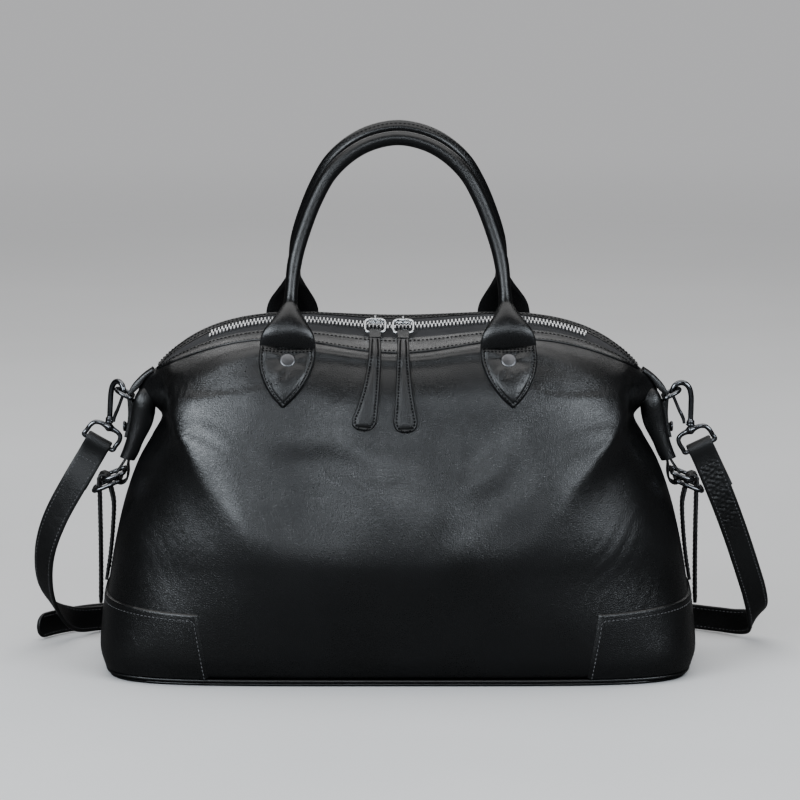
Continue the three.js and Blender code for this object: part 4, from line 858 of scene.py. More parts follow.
def stitch_tree():
    """A stitch at each step of a path: a stretched bead laid along it."""
    tree = bpy.data.node_groups.new("stitch_row", "GeometryNodeTree")
    ids = {"Path": socket_in(tree, "Path", "NodeSocketGeometry")}
    for name in ("Pitch", "Length", "Thickness"):
        ids[name] = socket_in(tree, name, "NodeSocketFloat", 0.002)
    ids["Thread"] = socket_in(tree, "Thread", "NodeSocketMaterial")
    tree.interface.new_socket(name="Stitches", in_out="OUTPUT", socket_type="NodeSocketGeometry")
    given, result = tree.nodes.new("NodeGroupInput").outputs, tree.nodes.new("NodeGroupOutput").inputs
    curve = put(tree, "GeometryNodeMeshToCurve", {"Mesh": given["Path"]})
    steps = put(tree, "GeometryNodeResampleCurve", {
        "Curve": curve.outputs[0], "Length": given["Pitch"]}, mode="LENGTH")
    bead = put(tree, "GeometryNodeMeshUVSphere", {"Segments": 6, "Rings": 5, "Radius": 1.0})
    smooth = put(tree, "GeometryNodeSetShadeSmooth", {"Geometry": bead.outputs["Mesh"]})
    half = calc(tree, "MULTIPLY", given["Length"], 0.5)
    thick = calc(tree, "MULTIPLY", given["Thickness"], 0.5)
    size = put(tree, "ShaderNodeCombineXYZ", {0: half, 1: thick, 2: thick})
    along = put(tree, "GeometryNodeInputTangent")
    turn = put(tree, "FunctionNodeAlignRotationToVector", {"Vector": along.outputs[0]}, axis="X")
    placed = put(tree, "GeometryNodeInstanceOnPoints", {
        "Points": steps.outputs[0], "Instance": smooth.outputs[0], "Rotation": turn.outputs[0],
        "Scale": size.outputs[0]})
    real = put(tree, "GeometryNodeRealizeInstances", {"Geometry": placed.outputs[0]})
    dyed = put(tree, "GeometryNodeSetMaterial", {"Geometry": real.outputs[0], "Material": given["Thread"]})
    tree.links.new(dyed.outputs[0], result["Stitches"])
    return tree, ids


def teeth_tree():
    """Zip teeth: two rows of small bars that reach past each other along a path."""
    tree = bpy.data.node_groups.new("zip_teeth", "GeometryNodeTree")
    ids = {"Path": socket_in(tree, "Path", "NodeSocketGeometry")}
    for name in ("Pitch", "Reach", "Radius", "Length", "Lean"):
        ids[name] = socket_in(tree, name, "NodeSocketFloat", 0.002)
    ids["Metal"] = socket_in(tree, "Metal", "NodeSocketMaterial")
    tree.interface.new_socket(name="Teeth", in_out="OUTPUT", socket_type="NodeSocketGeometry")
    given, result = tree.nodes.new("NodeGroupInput").outputs, tree.nodes.new("NodeGroupOutput").inputs
    curve = put(tree, "GeometryNodeMeshToCurve", {"Mesh": given["Path"]})
    half = calc(tree, "MULTIPLY", given["Pitch"], 0.5)
    steps = put(tree, "GeometryNodeResampleCurve", {"Curve": curve.outputs[0], "Length": half}, mode="LENGTH")
    odd = calc(tree, "MODULO", put(tree, "GeometryNodeInputIndex").outputs[0], 2.0)
    side = calc(tree, "SUBTRACT", calc(tree, "MULTIPLY", odd, 2.0), 1.0)
    shift = calc(tree, "MULTIPLY", side, given["Reach"])
    offset = put(tree, "ShaderNodeCombineXYZ", {
        1: calc(tree, "MULTIPLY", shift, calc(tree, "COSINE", given["Lean"])),
        2: calc(tree, "MULTIPLY", shift, calc(tree, "SINE", given["Lean"]))})
    moved = put(tree, "GeometryNodeSetPosition", {"Geometry": steps.outputs[0], "Offset": offset.outputs[0]})
    bar = put(tree, "GeometryNodeMeshCylinder", {
        "Vertices": 8, "Radius": given["Radius"], "Depth": given["Length"]})
    faceted = put(tree, "GeometryNodeSetShadeSmooth", {
        "Geometry": bar.outputs["Mesh"], "Shade Smooth": False})
    angle = put(tree, "ShaderNodeCombineXYZ", {0: calc(tree, "ADD", given["Lean"], math.pi / 2)})
    flat = put(tree, "FunctionNodeEulerToRotation", {0: angle.outputs[0]})
    placed = put(tree, "GeometryNodeInstanceOnPoints", {
        "Points": moved.outputs[0], "Instance": faceted.outputs[0], "Rotation": flat.outputs[0]})
    real = put(tree, "GeometryNodeRealizeInstances", {"Geometry": placed.outputs[0]})
    plated = put(tree, "GeometryNodeSetMaterial", {"Geometry": real.outputs[0], "Material": given["Metal"]})
    tree.links.new(plated.outputs[0], result["Teeth"])
    return tree, ids


STITCHES = stitch_tree()
TEETH = teeth_tree()


def repeated(name, paths, trunk, values, nodes=()):
    """Runs a repeating tree along paths and keeps its result as a plain mesh."""
    tree, ids = trunk
    points = np.concatenate(paths) * MM
    edges, start = [], 0
    for path in paths:
        edges += [(start + i, start + i + 1) for i in range(len(path) - 1)]
        start += len(path)
    mesh = bpy.data.meshes.new(name + "_path")
    mesh.from_pydata(points, edges, [])
    made = bpy.data.objects.new(name, mesh)
    modifier = made.modifiers.new("repeat", "NODES")
    modifier.node_group = tree
    for label, value in values.items():
        modifier[ids[label]] = value
    bpy.context.scene.collection.objects.link(made)
    bpy.context.view_layer.update()
    plain = bpy.data.meshes.new_from_object(made.evaluated_get(bpy.context.evaluated_depsgraph_get()))
    made.modifiers.clear()
    made.data = plain
    plain.name = name
    return declare(made, nodes, "bag")


def stitches(row, paths, dye):
    pitch, length, thick = (size * MM for size in STITCH_SIZES[row])
    values = {"Pitch": pitch, "Length": length, "Thickness": thick, "Thread": dye}
    return repeated(row + "_stitches", paths, STITCHES, values)


# Body panels
def panel(side):
    """Front or back wall, tucked in at the end seams and at its foot."""
    guides = [even_steps(lambda s: skin(side, s, row), -1, 1, PANEL["columns"])
              for row in PANEL["guide_rows"]]
    rows = even_steps(lambda v: skin(side, PANEL["guide_s"], v), 0, TOP, PANEL["rows"])
    s, v = np.meshgrid((guides[0] + guides[1]) / 2, rows)
    at, normal = skin(side, s, v), skin_normal(side, s, v)
    foot = lengths(at[:, PANEL["columns"] // 2])[:, None]
    tuck = (TUCK["end"] * np.exp(-((at[..., 1] / TUCK["end_reach"]) ** 2))
            + TUCK["foot"] * np.exp(-((foot / TUCK["foot_reach"]) ** 2)))
    outer = at - normal * tuck[..., None] + [0, side * SEAM_GAP, 0]
    inner = at - normal * (WALL + EXTRA_GAP) + [0, side * SEAM_GAP, 0]
    return shell(Shape(), outer, inner)


for side, name in ((-1, "front_panel"), (1, "back_panel")):
    piece(name + "_leather", panel(side), BODY_LEATHER, [name])


# Base and welt
def base_outline(grow, z, count=240):
    power = 2 / BASE_HALF["fullness"]
    x = (BASE_HALF["x"] + grow) * squared(np.cos(turns(count)), power)
    y = (BASE_HALF["y"] + grow) * squared(np.sin(turns(count)), power)
    return np.stack([x, y, np.full(count, float(z))], 1)


# Rounded edge of the base: outwards step, height
BASE_PROFILE = [(-1.2, 0), (-0.35, 0.3), (0, 1), (0, 1.6), (-0.4, 2.0), (-1.2, BASE_THICK)]
base = loft(Shape(), [base_outline(grow, z) for grow, z in BASE_PROFILE])
piece("base_leather", base, BODY_LEATHER, ["base_panel"])
welt_line = even_ring(base_outline(WELT["grow"], BASE_THICK + GAP + WELT["radius"]), WELT["step"])
welt = tube(Shape(), welt_line, (0, 0, 1), WELT["radius"], sides=10, ring=True)
piece("welt_leather", welt, BODY_LEATHER, ["base_welt"])


# Corner patches
def patch_edge_x(z):
    return PATCH["front_x"] + PATCH["slant"] * z / PATCH["top_z"]


def patch_place(end, side, share, v_share, inset=0.0):
    """Place on a patch's outline grid: share 0 at its upright edge to 1 at the end seam, v_share up."""
    v = PATCH["foot_row"] + (PATCH["top_row"] - PATCH["foot_row"]) * v_share
    z = skin(side, PATCH["guide_s"], v)[..., 2]
    edge = s_at_x(side, patch_edge_x(z) + inset, v)
    s = edge + (1 - edge) * share
    v = v + PATCH["end_rise"] * s * v_share**6
    return end * s, v


def patch_height(at, share):
    """Lift of the patch over the skin, rounded at its upright and upper edges."""
    upright = np.abs(at[..., 0]) - patch_edge_x(at[..., 2])
    upright = np.where(share < PATCH["upright_share"], upright, np.inf)
    edge = np.minimum(upright, at[-1:, :, 2] - at[..., 2])
    return PATCH["low"] + (PATCH["high"] - PATCH["low"]) * round_edge(edge, PATCH["rounding"])


def corner_patch(end):
    """Second layer round a lower end, from the front's upright edge to the back's."""
    v_share = np.concatenate([np.linspace(0, 0.9, 22), np.linspace(0.92, 1, 9)])
    half = np.concatenate([np.linspace(0, 0.06, 9), np.linspace(0.075, 1, 64)])
    share, rise = np.meshgrid(half, v_share)
    outer, inner = [], []
    for side in (-1, 1):
        s, v = patch_place(end, side, share, rise)
        at, normal = skin(side, s, v), skin_normal(side, s, v)
        columns = slice(None) if side < 0 else slice(-2, None, -1)
        outer.append((at + normal * patch_height(at, share)[..., None])[:, columns])
        inner.append((at + normal * PATCH["under"])[:, columns])
    return shell(Shape(), np.concatenate(outer, 1), np.concatenate(inner, 1))


def patch_stitch_line(end):
    """Stitch line inside a patch's edge, up the front, round the end and down the back."""
    inset, lift = PATCH_STITCH["inset"], PATCH["high"] + THREAD_LIFT
    rise = np.linspace(PATCH_STITCH["foot"], PATCH_STITCH["rise"], 30)
    share = np.linspace(0.0, 1, 70)
    runs = []
    for side in (-1, 1):
        s, v = patch_place(end, side, np.zeros_like(rise), rise, inset)
        upright = skin(side, s, v) + skin_normal(side, s, v) * lift
        s, _ = patch_place(end, side, share, np.full_like(share, PATCH_STITCH["rise"]), inset)
        _, top_v = patch_place(end, side, share, np.ones_like(share), inset)
        v = top_v - (PATCH["top_row"] - PATCH["foot_row"]) * PATCH_STITCH["drop"]
        upper = skin(side, s, v) + skin_normal(side, s, v) * lift
        run = np.concatenate([upright, upper[1:]])
        runs.append(run if side < 0 else run[::-1])
    return np.concatenate([runs[0], runs[1][1:]])


patch_lines = []
for end, name in ((1, "right"), (-1, "left")):
    piece(f"corner_leather_{name}", corner_patch(end), BODY_LEATHER, [f"corner_patch_{name}"])
    patch_lines.append(patch_stitch_line(end))
stitches("corner", patch_lines, STRAP_THREAD)


# Zip band
def zip_line(s, lean=0):
    """Height of the zip along the bag: lean -1 at the tape's front edge, 1 at its back edge."""
    front, back = skin(-1, s, TOP), skin(1, s, TOP)
    across = np.abs(front[..., 0]) / TOP_HALF_WIDTH
    return (front[..., 2] + back[..., 2]) / 2 + (ZIP_RISE + lean * ZIP_LEAN) * (1 - across**2)


def facing_at(side, s, share):
    """Place and upward way on a facing: share 0 at the bag's top edge, 1 at the tape."""
    s, share = np.broadcast_arrays(np.asarray(s, float), np.asarray(share, float))
    rim = skin(side, s, TOP)
    onward = unit(rim - skin(side, s, TOP - 1e-3))
    seam = rim + onward * (GAP + EXTRA_GAP) + [0, side * SEAM_GAP, 0]
    tape = np.stack([rim[..., 0], rim[..., 1] * TAPE["share"], zip_line(s, side)], -1)
    tape_up = np.array([0, -math.sin(LEAN_ANGLE), math.cos(LEAN_ANGLE)])
    w = share[..., None]
    up = unit(skin_normal(side, s, TOP) * (1 - w) + tape_up * w)
    return seam * (1 - w) + tape * w, up


def facing_rise(side, s, share):
    """Bead of the turned edge, then a soft swell between the two rows of stitches."""
    width = np.linalg.norm(facing_at(side, s, 1.0)[0] - facing_at(side, s, 0.0)[0], axis=-1)
    radius = FACING["bead"]
    bead = radius * np.sqrt(np.maximum(1 - ((share * width - radius) / radius) ** 2, 0))
    along = np.clip((share - FACING["swell_from"]) / FACING["swell_over"], 0, 1)
    swell = FACING["swell"] * np.sin(np.pi * along) ** 0.8
    lip = FACING["lip"] * np.exp(-(((share - 1) * width / FACING["lip_reach"]) ** 2))
    return bead + swell - lip


def zip_facing(side):
    s = even_steps(lambda t: skin(side, t, TOP), -FACING["reach"], FACING["reach"], ZIP_COLUMNS)
    share = np.concatenate([np.linspace(0, 0.075, 12), np.linspace(0.09, 1, 30)])
    s, share = np.meshgrid(s, share)
    at, up = facing_at(side, s, share)
    return shell(Shape(), at + up * facing_rise(side, s, share)[..., None], at - up * FACING["thick"])


def facing_line(side, share):
    reach = FACING_STITCH["reach"]
    s = even_steps(lambda t: skin(side, t, TOP), -reach, reach, FACING_STITCH["steps"])
    at, up = facing_at(side, s, share)
    return at + up * (facing_rise(side, s, share) + FACING_STITCH["lift"])[:, None]


def zip_tape():
    """Woven tape between the facings, with its crown along the middle."""
    s = even_steps(lambda t: skin(-1, t, TOP), -TAPE["reach"], TAPE["reach"], ZIP_COLUMNS)
    rim = skin(-1, s, TOP)
    half = np.abs(rim[:, 1]) * TAPE["share"] - GAP - EXTRA_GAP
    lean = zip_line(s, 1) - zip_line(s)
    spread = np.linspace(-1, 1, TAPE["rows"])
    z = (zip_line(s) - TAPE["drop"])[:, None] + lean[:, None] * spread - TAPE["crown"] * spread**2
    top = np.stack([np.broadcast_to(rim[:, :1], z.shape), half[:, None] * spread, z], -1)
    return shell(Shape(), top, top - [0, 0, TAPE["thick"]], top[..., :2] * MM)


def chain_line():
    s = s_at_x(-1, np.linspace(-CHAIN["half_length"], CHAIN["half_length"], CHAIN["steps"]), TOP)
    z = zip_line(s) - TAPE["drop"] + GAP + CHAIN["height"] / 2
    return np.stack([skin(-1, s, TOP)[:, 0], np.zeros_like(s), z], 1)


for side, name in ((-1, "front"), (1, "back")):
    piece(f"zip_facing_leather_{name}", zip_facing(side), BODY_LEATHER,
          [f"zip_facing_{name}"])
lines = [facing_line(side, share) for side in (-1, 1) for share in FACING_STITCH["shares"]]
stitches("facing", lines, BODY_THREAD)
piece("zip_tape_cloth", zip_tape(), WEAVE, ["zip_tape"])
repeated("zip_teeth_row", [chain_line()], TEETH, {
    "Pitch": CHAIN["pitch"] * MM, "Reach": CHAIN["reach"] * MM, "Radius": CHAIN["radius"] * MM,
    "Length": CHAIN["bar"] * MM, "Lean": LEAN_ANGLE, "Metal": TEETH_METAL}, ["zip_chain"])


# Zip sliders, links and pulls
def slider_low(x):
    """Height of a slider's foot over the zip's teeth."""
    tape = float(zip_line(s_at_x(-1, np.array(x), TOP))) - TAPE["drop"]
    return tape + 2 * GAP + CHAIN["height"] + SLIDER["lift"]


def link_heights(x):
    """Heights of a link's front bar, over the facing, and of its back bar, on the slider."""
    seat = slider_low(x) + LINK["back"] * math.sin(LEAN_ANGLE) + SLIDER["height"] * LINK["seat"]
    low = float(facing_at(-1, s_at_x(-1, np.array(x), TOP), LINK["over"])[0][2]) + LINK["clear"]
    return low, seat + LINK["wire"] + GAP


def zip_slider(x):
    """Slider body lying on the leaning zip, with the wire arch that its link hangs from."""
    low, level, lean = slider_low(x), math.cos(LEAN_ANGLE), math.sin(LEAN_ANGLE)
    turn = turns(SLIDER["sides"])
    waist = 1 - SLIDER["waist"] + SLIDER["waist"] * np.cos(2 * turn)
    wide = squared(np.sin(turn), SLIDER["squareness"]) * waist
    long = squared(np.cos(turn), SLIDER["squareness"])
    rings = []
    for shrink, rise in SLIDER_PROFILE:
        y, up = wide * SLIDER["half_width"] * shrink, rise * SLIDER["height"]
        x_ring = x + long * SLIDER["half_length"] * shrink
        rings.append(np.stack([x_ring, y * level - up * lean, low + y * lean + up * level], 1))
    shape = loft(Shape(), rings)
    angles = np.radians(np.linspace(*ARCH["turn"], ARCH["steps"]))
    arch_y = LINK["back"] + ARCH["half_length"] * np.cos(angles)
    arch_z = link_heights(x)[1] + ARCH["lift"] + ARCH["half_height"] * np.sin(angles)
    arch = np.stack([np.full_like(angles, x), arch_y, arch_z], 1)
    feet = [[x, y, low + y * lean + SLIDER["height"] * ARCH["foot_share"]]
            for y in (arch_y[0] + ARCH["foot"], arch_y[-1] - ARCH["foot"])]
    arch = smooth_path(np.vstack([feet[0], arch[::3], feet[1]]), 5)
    return tube(shape, arch, (1, 0, 0), ARCH["wire"], sides=12)


def pull_link(x, steps=72, squareness=0.5):
    low, high = link_heights(x)
    share = (1 + squared(np.sin(turns(steps)), squareness)) / 2
    path = np.stack([x + LINK["half_width"] * squared(np.cos(turns(steps)), squareness),
                     LINK["front"] + (LINK["back"] - LINK["front"]) * share, low + (high - low) * share], 1)
    lean = unit(-np.array([0, high - low, LINK["front"] - LINK["back"]]))
    return tube(Shape(), even_ring(path, LINK["step"]), lean, LINK["wire"], sides=12, ring=True)


def pull_rows(x, drift, spread):
    """Places and normals under a pull, for each row and each share across it."""
    drop = PULL_ROWS[-1][1]
    top = np.full(len(spread), float(TOP))
    places, normals, widths = [], [], []
    for over, down, half in PULL_ROWS:
        at_x = x + drift * (down / drop) ** PULL["bend"] + spread * half
        s = s_at_x(-1, at_x, top)
        if down == 0:
            at, normal = facing_at(-1, s, 1 - over)
        else:
            at, normal = skin_at(-1, at_x, skin(-1, s, TOP)[:, 2] - down)
        places.append(at)
        normals.append(normal)
        widths.append([half])
    rows = [smooth_path(np.hstack([np.array(places)[:, j], np.array(normals)[:, j], widths]), PULL["steps"])
            for j in range(len(spread))]
    rows = np.stack(rows, 1)
    return rows[..., :3], unit(rows[..., 3:6]), rows[..., 6]


def zip_pull(x, drift):
    """Padded leather pull lying on the facing and the front, folded round its link."""
    spread = np.concatenate([np.linspace(-1, -0.7, 6), np.linspace(-0.55, 0.55, 7), np.linspace(0.7, 1, 6)])
    middle = len(spread) // 2
    at, normal, half = pull_rows(x, drift, spread)
    way = lengths(at[:, middle])[:, None]
    edge = np.minimum((1 - np.abs(spread)) * half, way[-1] - way + PULL["tip"])
    edge = np.minimum(edge, way + PULL["root"])
    inside = edge - PULL["groove_in"]
    swell = PULL["swell"] * np.clip(inside / PULL["swell_over"], 0, 1)
    groove = PULL["groove"] * np.exp(-((inside / PULL["groove_reach"]) ** 2))
    thick = PULL["edge"] + (PULL["thick"] - PULL["edge"]) * round_edge(edge, PULL["rounding"])
    height = PULL["lift"] + thick + swell - groove
    shape = shell(Shape(), at + normal * height[..., None], at + normal * PULL["under"])
    low, radius = link_heights(x)[0], PULL_FOLD["radius"]
    loop = [(x, LINK["front"] + radius * math.cos(a), low + radius * math.sin(a))
            for a in np.radians(np.linspace(-90, 90, 9))]
    _, y, z = at[0, middle] + normal[0, middle] * PULL["lift"] - [0, PULL_FOLD["back"], 0]
    path = smooth_path([(x, y, z - PULL_FOLD["low"])] + loop + [(x, y, z + PULL_FOLD["high"])], 6)
    across = np.tile([1.0, 0, 0], (len(path), 1))
    return band(shape, path, across, PULL_FOLD["half_width"], PULL_FOLD["thick"])


def pull_stitch_line(x, drift):
    """Stitch line in a pull's groove, down one side, round its tip and up the other."""
    spread = np.linspace(-1, 1, PULL_STITCH["columns"])
    middle = len(spread) // 2
    at, normal, half = pull_rows(x, drift, spread)
    height = PULL["lift"] + PULL["thick"]
    last = len(at) - PULL_STITCH["tip_rows"]
    runs = {-1: [], 1: []}
    for i in range(PULL_STITCH["first_row"], last):
        for sign, run in runs.items():
            share = sign * (1 - PULL["groove_in"] / half[i, 0])
            j = int(round((share + 1) / 2 * (len(spread) - 1)))
            run.append(at[i, j] + normal[i, j] * (height - THREAD_LIFT))
    tip_x, _, tip_z = at[last, middle]
    tip_at, tip_normal = skin_at(-1, np.array([tip_x]), tip_z - PULL_STITCH["tip_drop"])
    tip = tip_at[0] + tip_normal[0] * height
    every = PULL_STITCH["every"]
    return smooth_path(np.array(runs[-1][::every] + [tip] + runs[1][::-1][::every]), PULL["steps"])


pull_lines = []
for p in PULLS:
    name, x, drift = p["name"], p["x"], p["drift"]
    piece(f"slider_metal_{name}", zip_slider(x), BRIGHT, [f"zip_slider_{name}"])
    piece(f"link_metal_{name}", pull_link(x), BRIGHT, [f"pull_link_{name}"])
    piece(f"pull_leather_{name}", zip_pull(x, drift), STRAP_LEATHER, [f"zip_pull_{name}"])
    pull_lines.append(pull_stitch_line(x, drift))
stitches("pull", pull_lines, BODY_THREAD)


# Handles, their leaf tabs and rivets
def handle_rows(h):
    """Places of a handle from foot to foot with its half-width and half-thickness."""
    side, radius = h["side"], HANDLE["radius"]
    at, normal = skin_at(side, np.array([TAB_X]), np.array([h["seat_z"]]))
    seat = at[0] + normal[0] * (TAB_HEIGHT + BELL[0][2] + GAP)
    neck = np.array([HANDLE_ARCH[0][1], side * h["neck_y"], h["neck_z"]])
    half = []
    for share, wide, thick in BELL:
        bow = [0, side * HANDLE["bow"] * math.sin(math.pi * share), 0]
        half.append((*(seat * (1 - share) + neck * share + bow), wide, thick))
    for rise, wide in HANDLE_ARCH:
        y = side * (h["neck_y"] + (h["top_y"] - h["neck_y"]) * rise**0.8)
        z = h["neck_z"] + (h["top_z"] - h["neck_z"]) * rise
        half.append((wide, y, z, radius, radius))
    crown = [(0, side * h["top_y"], h["top_z"], radius, radius)]
    other = [(-x, y, z, a, b) for x, y, z, a, b in half[::-1]]
    return smooth_path(half + crown + other, HANDLE["steps"])


def handle_frames(rows, side):
    path = rows[:, :3]
    along = tangents(path)
    thin = unit(np.array([0, side, 0.0]) - along * along[:, 1:2] * side)
    return path, np.cross(along, thin), thin


def handle_tube(h):
    """Rolled handle: round between its necks, with a raised seam along its inner side."""
    rows = handle_rows(h)
    path, wide, thin = handle_frames(rows, h["side"])
    half_wide, half_thin = rows[:, 3:4], rows[:, 4:5]
    turn = turns(HANDLE["sides"])
    rolled = np.clip((half_thin / np.maximum(half_wide, 1e-6) - 0.5) * 2, 0, 1)
    inward = np.angle(np.exp(1j * (turn - 1.5 * np.pi)))[None, :]
    seam = HANDLE_SEAM["height"] * np.exp(-((inward / HANDLE_SEAM["reach"]) ** 2))
    beside = (np.abs(inward) - HANDLE_SEAM["valley_at"]) / HANDLE_SEAM["valley_reach"]
    ridge = 1 + rolled * (seam - HANDLE_SEAM["valley"] * np.exp(-(beside**2)))
    a, b = half_wide * (np.cos(turn) * ridge), half_thin * (np.sin(turn) * ridge)
    return loft(Shape(), path[:, None] + wide[:, None] * a[..., None] + thin[:, None] * b[..., None])


def handle_seam(h):
    """Stitch line along the seam on the handle's inner side, between its two necks."""
    rows = handle_rows(h)
    path, wide, thin = handle_frames(rows, h["side"])
    bell = HANDLE["steps"] * len(BELL)
    out = np.sign(wide[len(rows) // 2, 2]) or 1.0
    turn = math.radians(HANDLE_SEAM["stitch_angle"])
    radius = HANDLE["radius"] * HANDLE_SEAM["stitch_depth"]
    line = path - thin * radius * math.cos(turn) + wide * out * radius * math.sin(turn)
    return line[bell:len(rows) - bell]


def leaf_place(side, end, row, a, h):
    """Place and normal under a leaf tab at a row of its table and a share across."""
    share, half = column(LEAF[:, 0], row), column(LEAF[:, 1], row)
    x = end * (TAB_X + (TAB_TIP_X - TAB_X) * share) + a * half
    z = h["seat_z"] + LEAF_TOP - LEAF_LENGTH * share
    at, normal = skin_at(side, x, z)
    return at, normal, share, half


def leaf_height(share, half, a, at, centre):
    """Padded height of a leaf tab: rounded edge, soft crown, puckers round its rivet."""
    form = LEAF_RELIEF
    slope = np.clip((share - form["taper_from"]) / form["taper_over"], 0, 1)
    edge = (1 - np.abs(a)) * half * (1 - form["taper"] * slope)
    edge = np.minimum(edge, share * LEAF_LENGTH + form["end"])
    crown = form["crown"] * (1 - a**2) * np.sin(np.pi * np.clip(share, 0.02, 0.98)) ** 0.7
    groove = form["groove"] * np.exp(-(((edge - form["groove_in"]) / form["groove_reach"]) ** 2))
    away = at - centre
    reach = np.linalg.norm(away, axis=-1)
    spoke = np.arctan2(away[..., 2], away[..., 0])
    waves = sum(height * np.sin(count * spoke + phase) for count, height, phase in PUCKER["waves"])
    pucker = np.exp(-(((reach - PUCKER["at"]) / PUCKER["reach"]) ** 2)) * waves
    dip = form["dip"] * np.exp(-((reach / form["dip_reach"]) ** 2))
    padding = form["edge"] + (TAB_HEIGHT - form["edge"]) * round_edge(edge, form["rounding"])
    return padding + crown - groove - dip + pucker * np.clip(edge / PUCKER["fade"], 0, 1)


def rivet_place(side, end, h):
    at, normal = skin_at(side, np.array([end * TAB_X]), np.array([h["seat_z"] - RIVET_DROP]))
    return at[0], normal[0]


def leaf_tab(side, end, h):
    rows = np.concatenate([np.linspace(0, 3, 22), np.linspace(3.1, 7, 34)])
    a = np.concatenate([np.linspace(-1, -0.85, 6), np.linspace(-0.78, 0.78, 27), np.linspace(0.85, 1, 6)])
    a, row = np.meshgrid(a, rows)
    at, normal, share, half = leaf_place(side, end, row, a, h)
    height = leaf_height(share, half, a, at, rivet_place(side, end, h)[0])
    return shell(Shape(), at + normal * height[..., None], at + normal * LEAF_RELIEF["under"])


def leaf_stitch_lines(side, end, h):
    """Stitches inside the leaf's edge and two close rows across it under the handle's bell."""
    centre = rivet_place(side, end, h)[0]

    def on_leaf(row, a, lift):
        at, normal, share, half = leaf_place(side, end, row, a, h)
        return at + normal * (leaf_height(share, half, a, at, centre) + lift)[:, None]

    row = np.linspace(*LEAF_STITCH["rows"], LEAF_STITCH["steps"])
    inset = np.clip(1 - LEAF_RELIEF["groove_in"] / column(LEAF[:, 1], row), 0.1, 1)
    lines = [np.concatenate([on_leaf(row, -inset, THREAD_LIFT), on_leaf(row, inset, THREAD_LIFT)[::-1]])]
    a = np.linspace(-LEAF_STITCH["reach"], LEAF_STITCH["reach"], 24)
    for start in LEAF_STITCH["cross_rows"]:
        lines.append(on_leaf(start + LEAF_STITCH["bend"] * (1 - a**2), a, LEAF_STITCH["lift"]))
    return lines


handle_lines, leaf_lines = [], []
for h in HANDLES:
    side, name = h["side"], h["name"]
    piece(f"handle_leather_{name}", handle_tube(h), HANDLE_LEATHER, [f"handle_{name}"])
    handle_lines.append(handle_seam(h))
    for end, end_name in ((-1, "left"), (1, "right")):
        piece(f"leaf_leather_{name}_{end_name}", leaf_tab(side, end, h), BODY_LEATHER,
              [f"handle_tab_{name}_{end_name}"])
        leaf_lines += leaf_stitch_lines(side, end, h)
        at, normal = rivet_place(side, end, h)
        foot = at + normal * (TAB_HEIGHT - RIVET["sunk"])
        cap = turned(Shape(), cap_profile(RIVET["radius"], RIVET["height"]), foot, normal)
        piece(f"rivet_metal_{name}_{end_name}", cap, BLACK_NICKEL,
              [f"handle_rivet_{name}_{end_name}"], sharp=35)
stitches("handle", handle_lines, BODY_THREAD)
stitches("leaf", leaf_lines, BODY_THREAD)


# End hardware
def mirrored(points, mirror):
    return np.asarray(points, float) * [mirror, 1, 1]


def side_rows(rows):
    return np.array([(x, 0.0, z) for x, z in rows])


def side_tab(mirror):
    """Leather folded round the wing's end: a bent section along the rows of its table."""
    rows = smooth_path([(x, 0, z, thick, wide, slope) for x, z, thick, wide, slope in SIDE_TAB], 9)
    turn_x, turn_y = SIDE_TAB_FORM["turn"]
    grids = []
    for inset in (0.0, SIDE_TAB_FORM["thick"]):
        grid = []
        for x, _, z, thick, wide, slope in rows:
            a, front, back = thick - inset, inset - wide, wide - SIDE_TAB_FORM["back"]
            bend = min(a, SIDE_TAB_FORM["bend"])
            half = [(a * turn_x, front + bend * turn_y), (a, front + bend),
                    (a, SIDE_TAB_FORM["flat"] * back), (a, back)]
            curve = smooth_path([(-p, q, 0) for p, q in half[::-1]] + [(0, front, 0)]
                                + [(p, q, 0) for p, q in half], 5)
            grid.append(np.stack([x + curve[:, 0], curve[:, 1], z + curve[:, 0] * slope], 1))
        grids.append(mirrored(np.array(grid), mirror))
    return shell(Shape(), grids[0], grids[1])


def side_band(rows, half_width, thick, mirror, step=1.2, round_end=False):
    path = mirrored(even(smooth_path(side_rows(rows), 12), step), mirror)
    return band(Shape(), path, np.tile([0, 1.0, 0], (len(path), 1)), half_width, thick, round_end=round_end)


def d_holder(mirror):
    """Folded leather over the D-ring's bar, filled back to the wing and the side tab behind it."""
    rows = even(smooth_path([(x, 0, z, fill) for x, z, fill in D_HOLDER], 12), 1.0)
    path, along = rows[:, :3], tangents(rows[:, :3])
    outward = np.stack([-along[:, 2], 0 * along[:, 0], along[:, 0]], 1)
    section = flat_section(HOLDER_HALF["d"], HOLDER_THICK / 2)
    above = section[None, :, 1]
    filled = np.where(above < 0, above - rows[:, 3:4], above)
    aside = np.array([0, 1.0, 0]) * section[None, :, :1]
    rings = path[:, None] + outward[:, None] * filled[..., None] + aside
    return loft(Shape(), mirrored(rings, mirror))


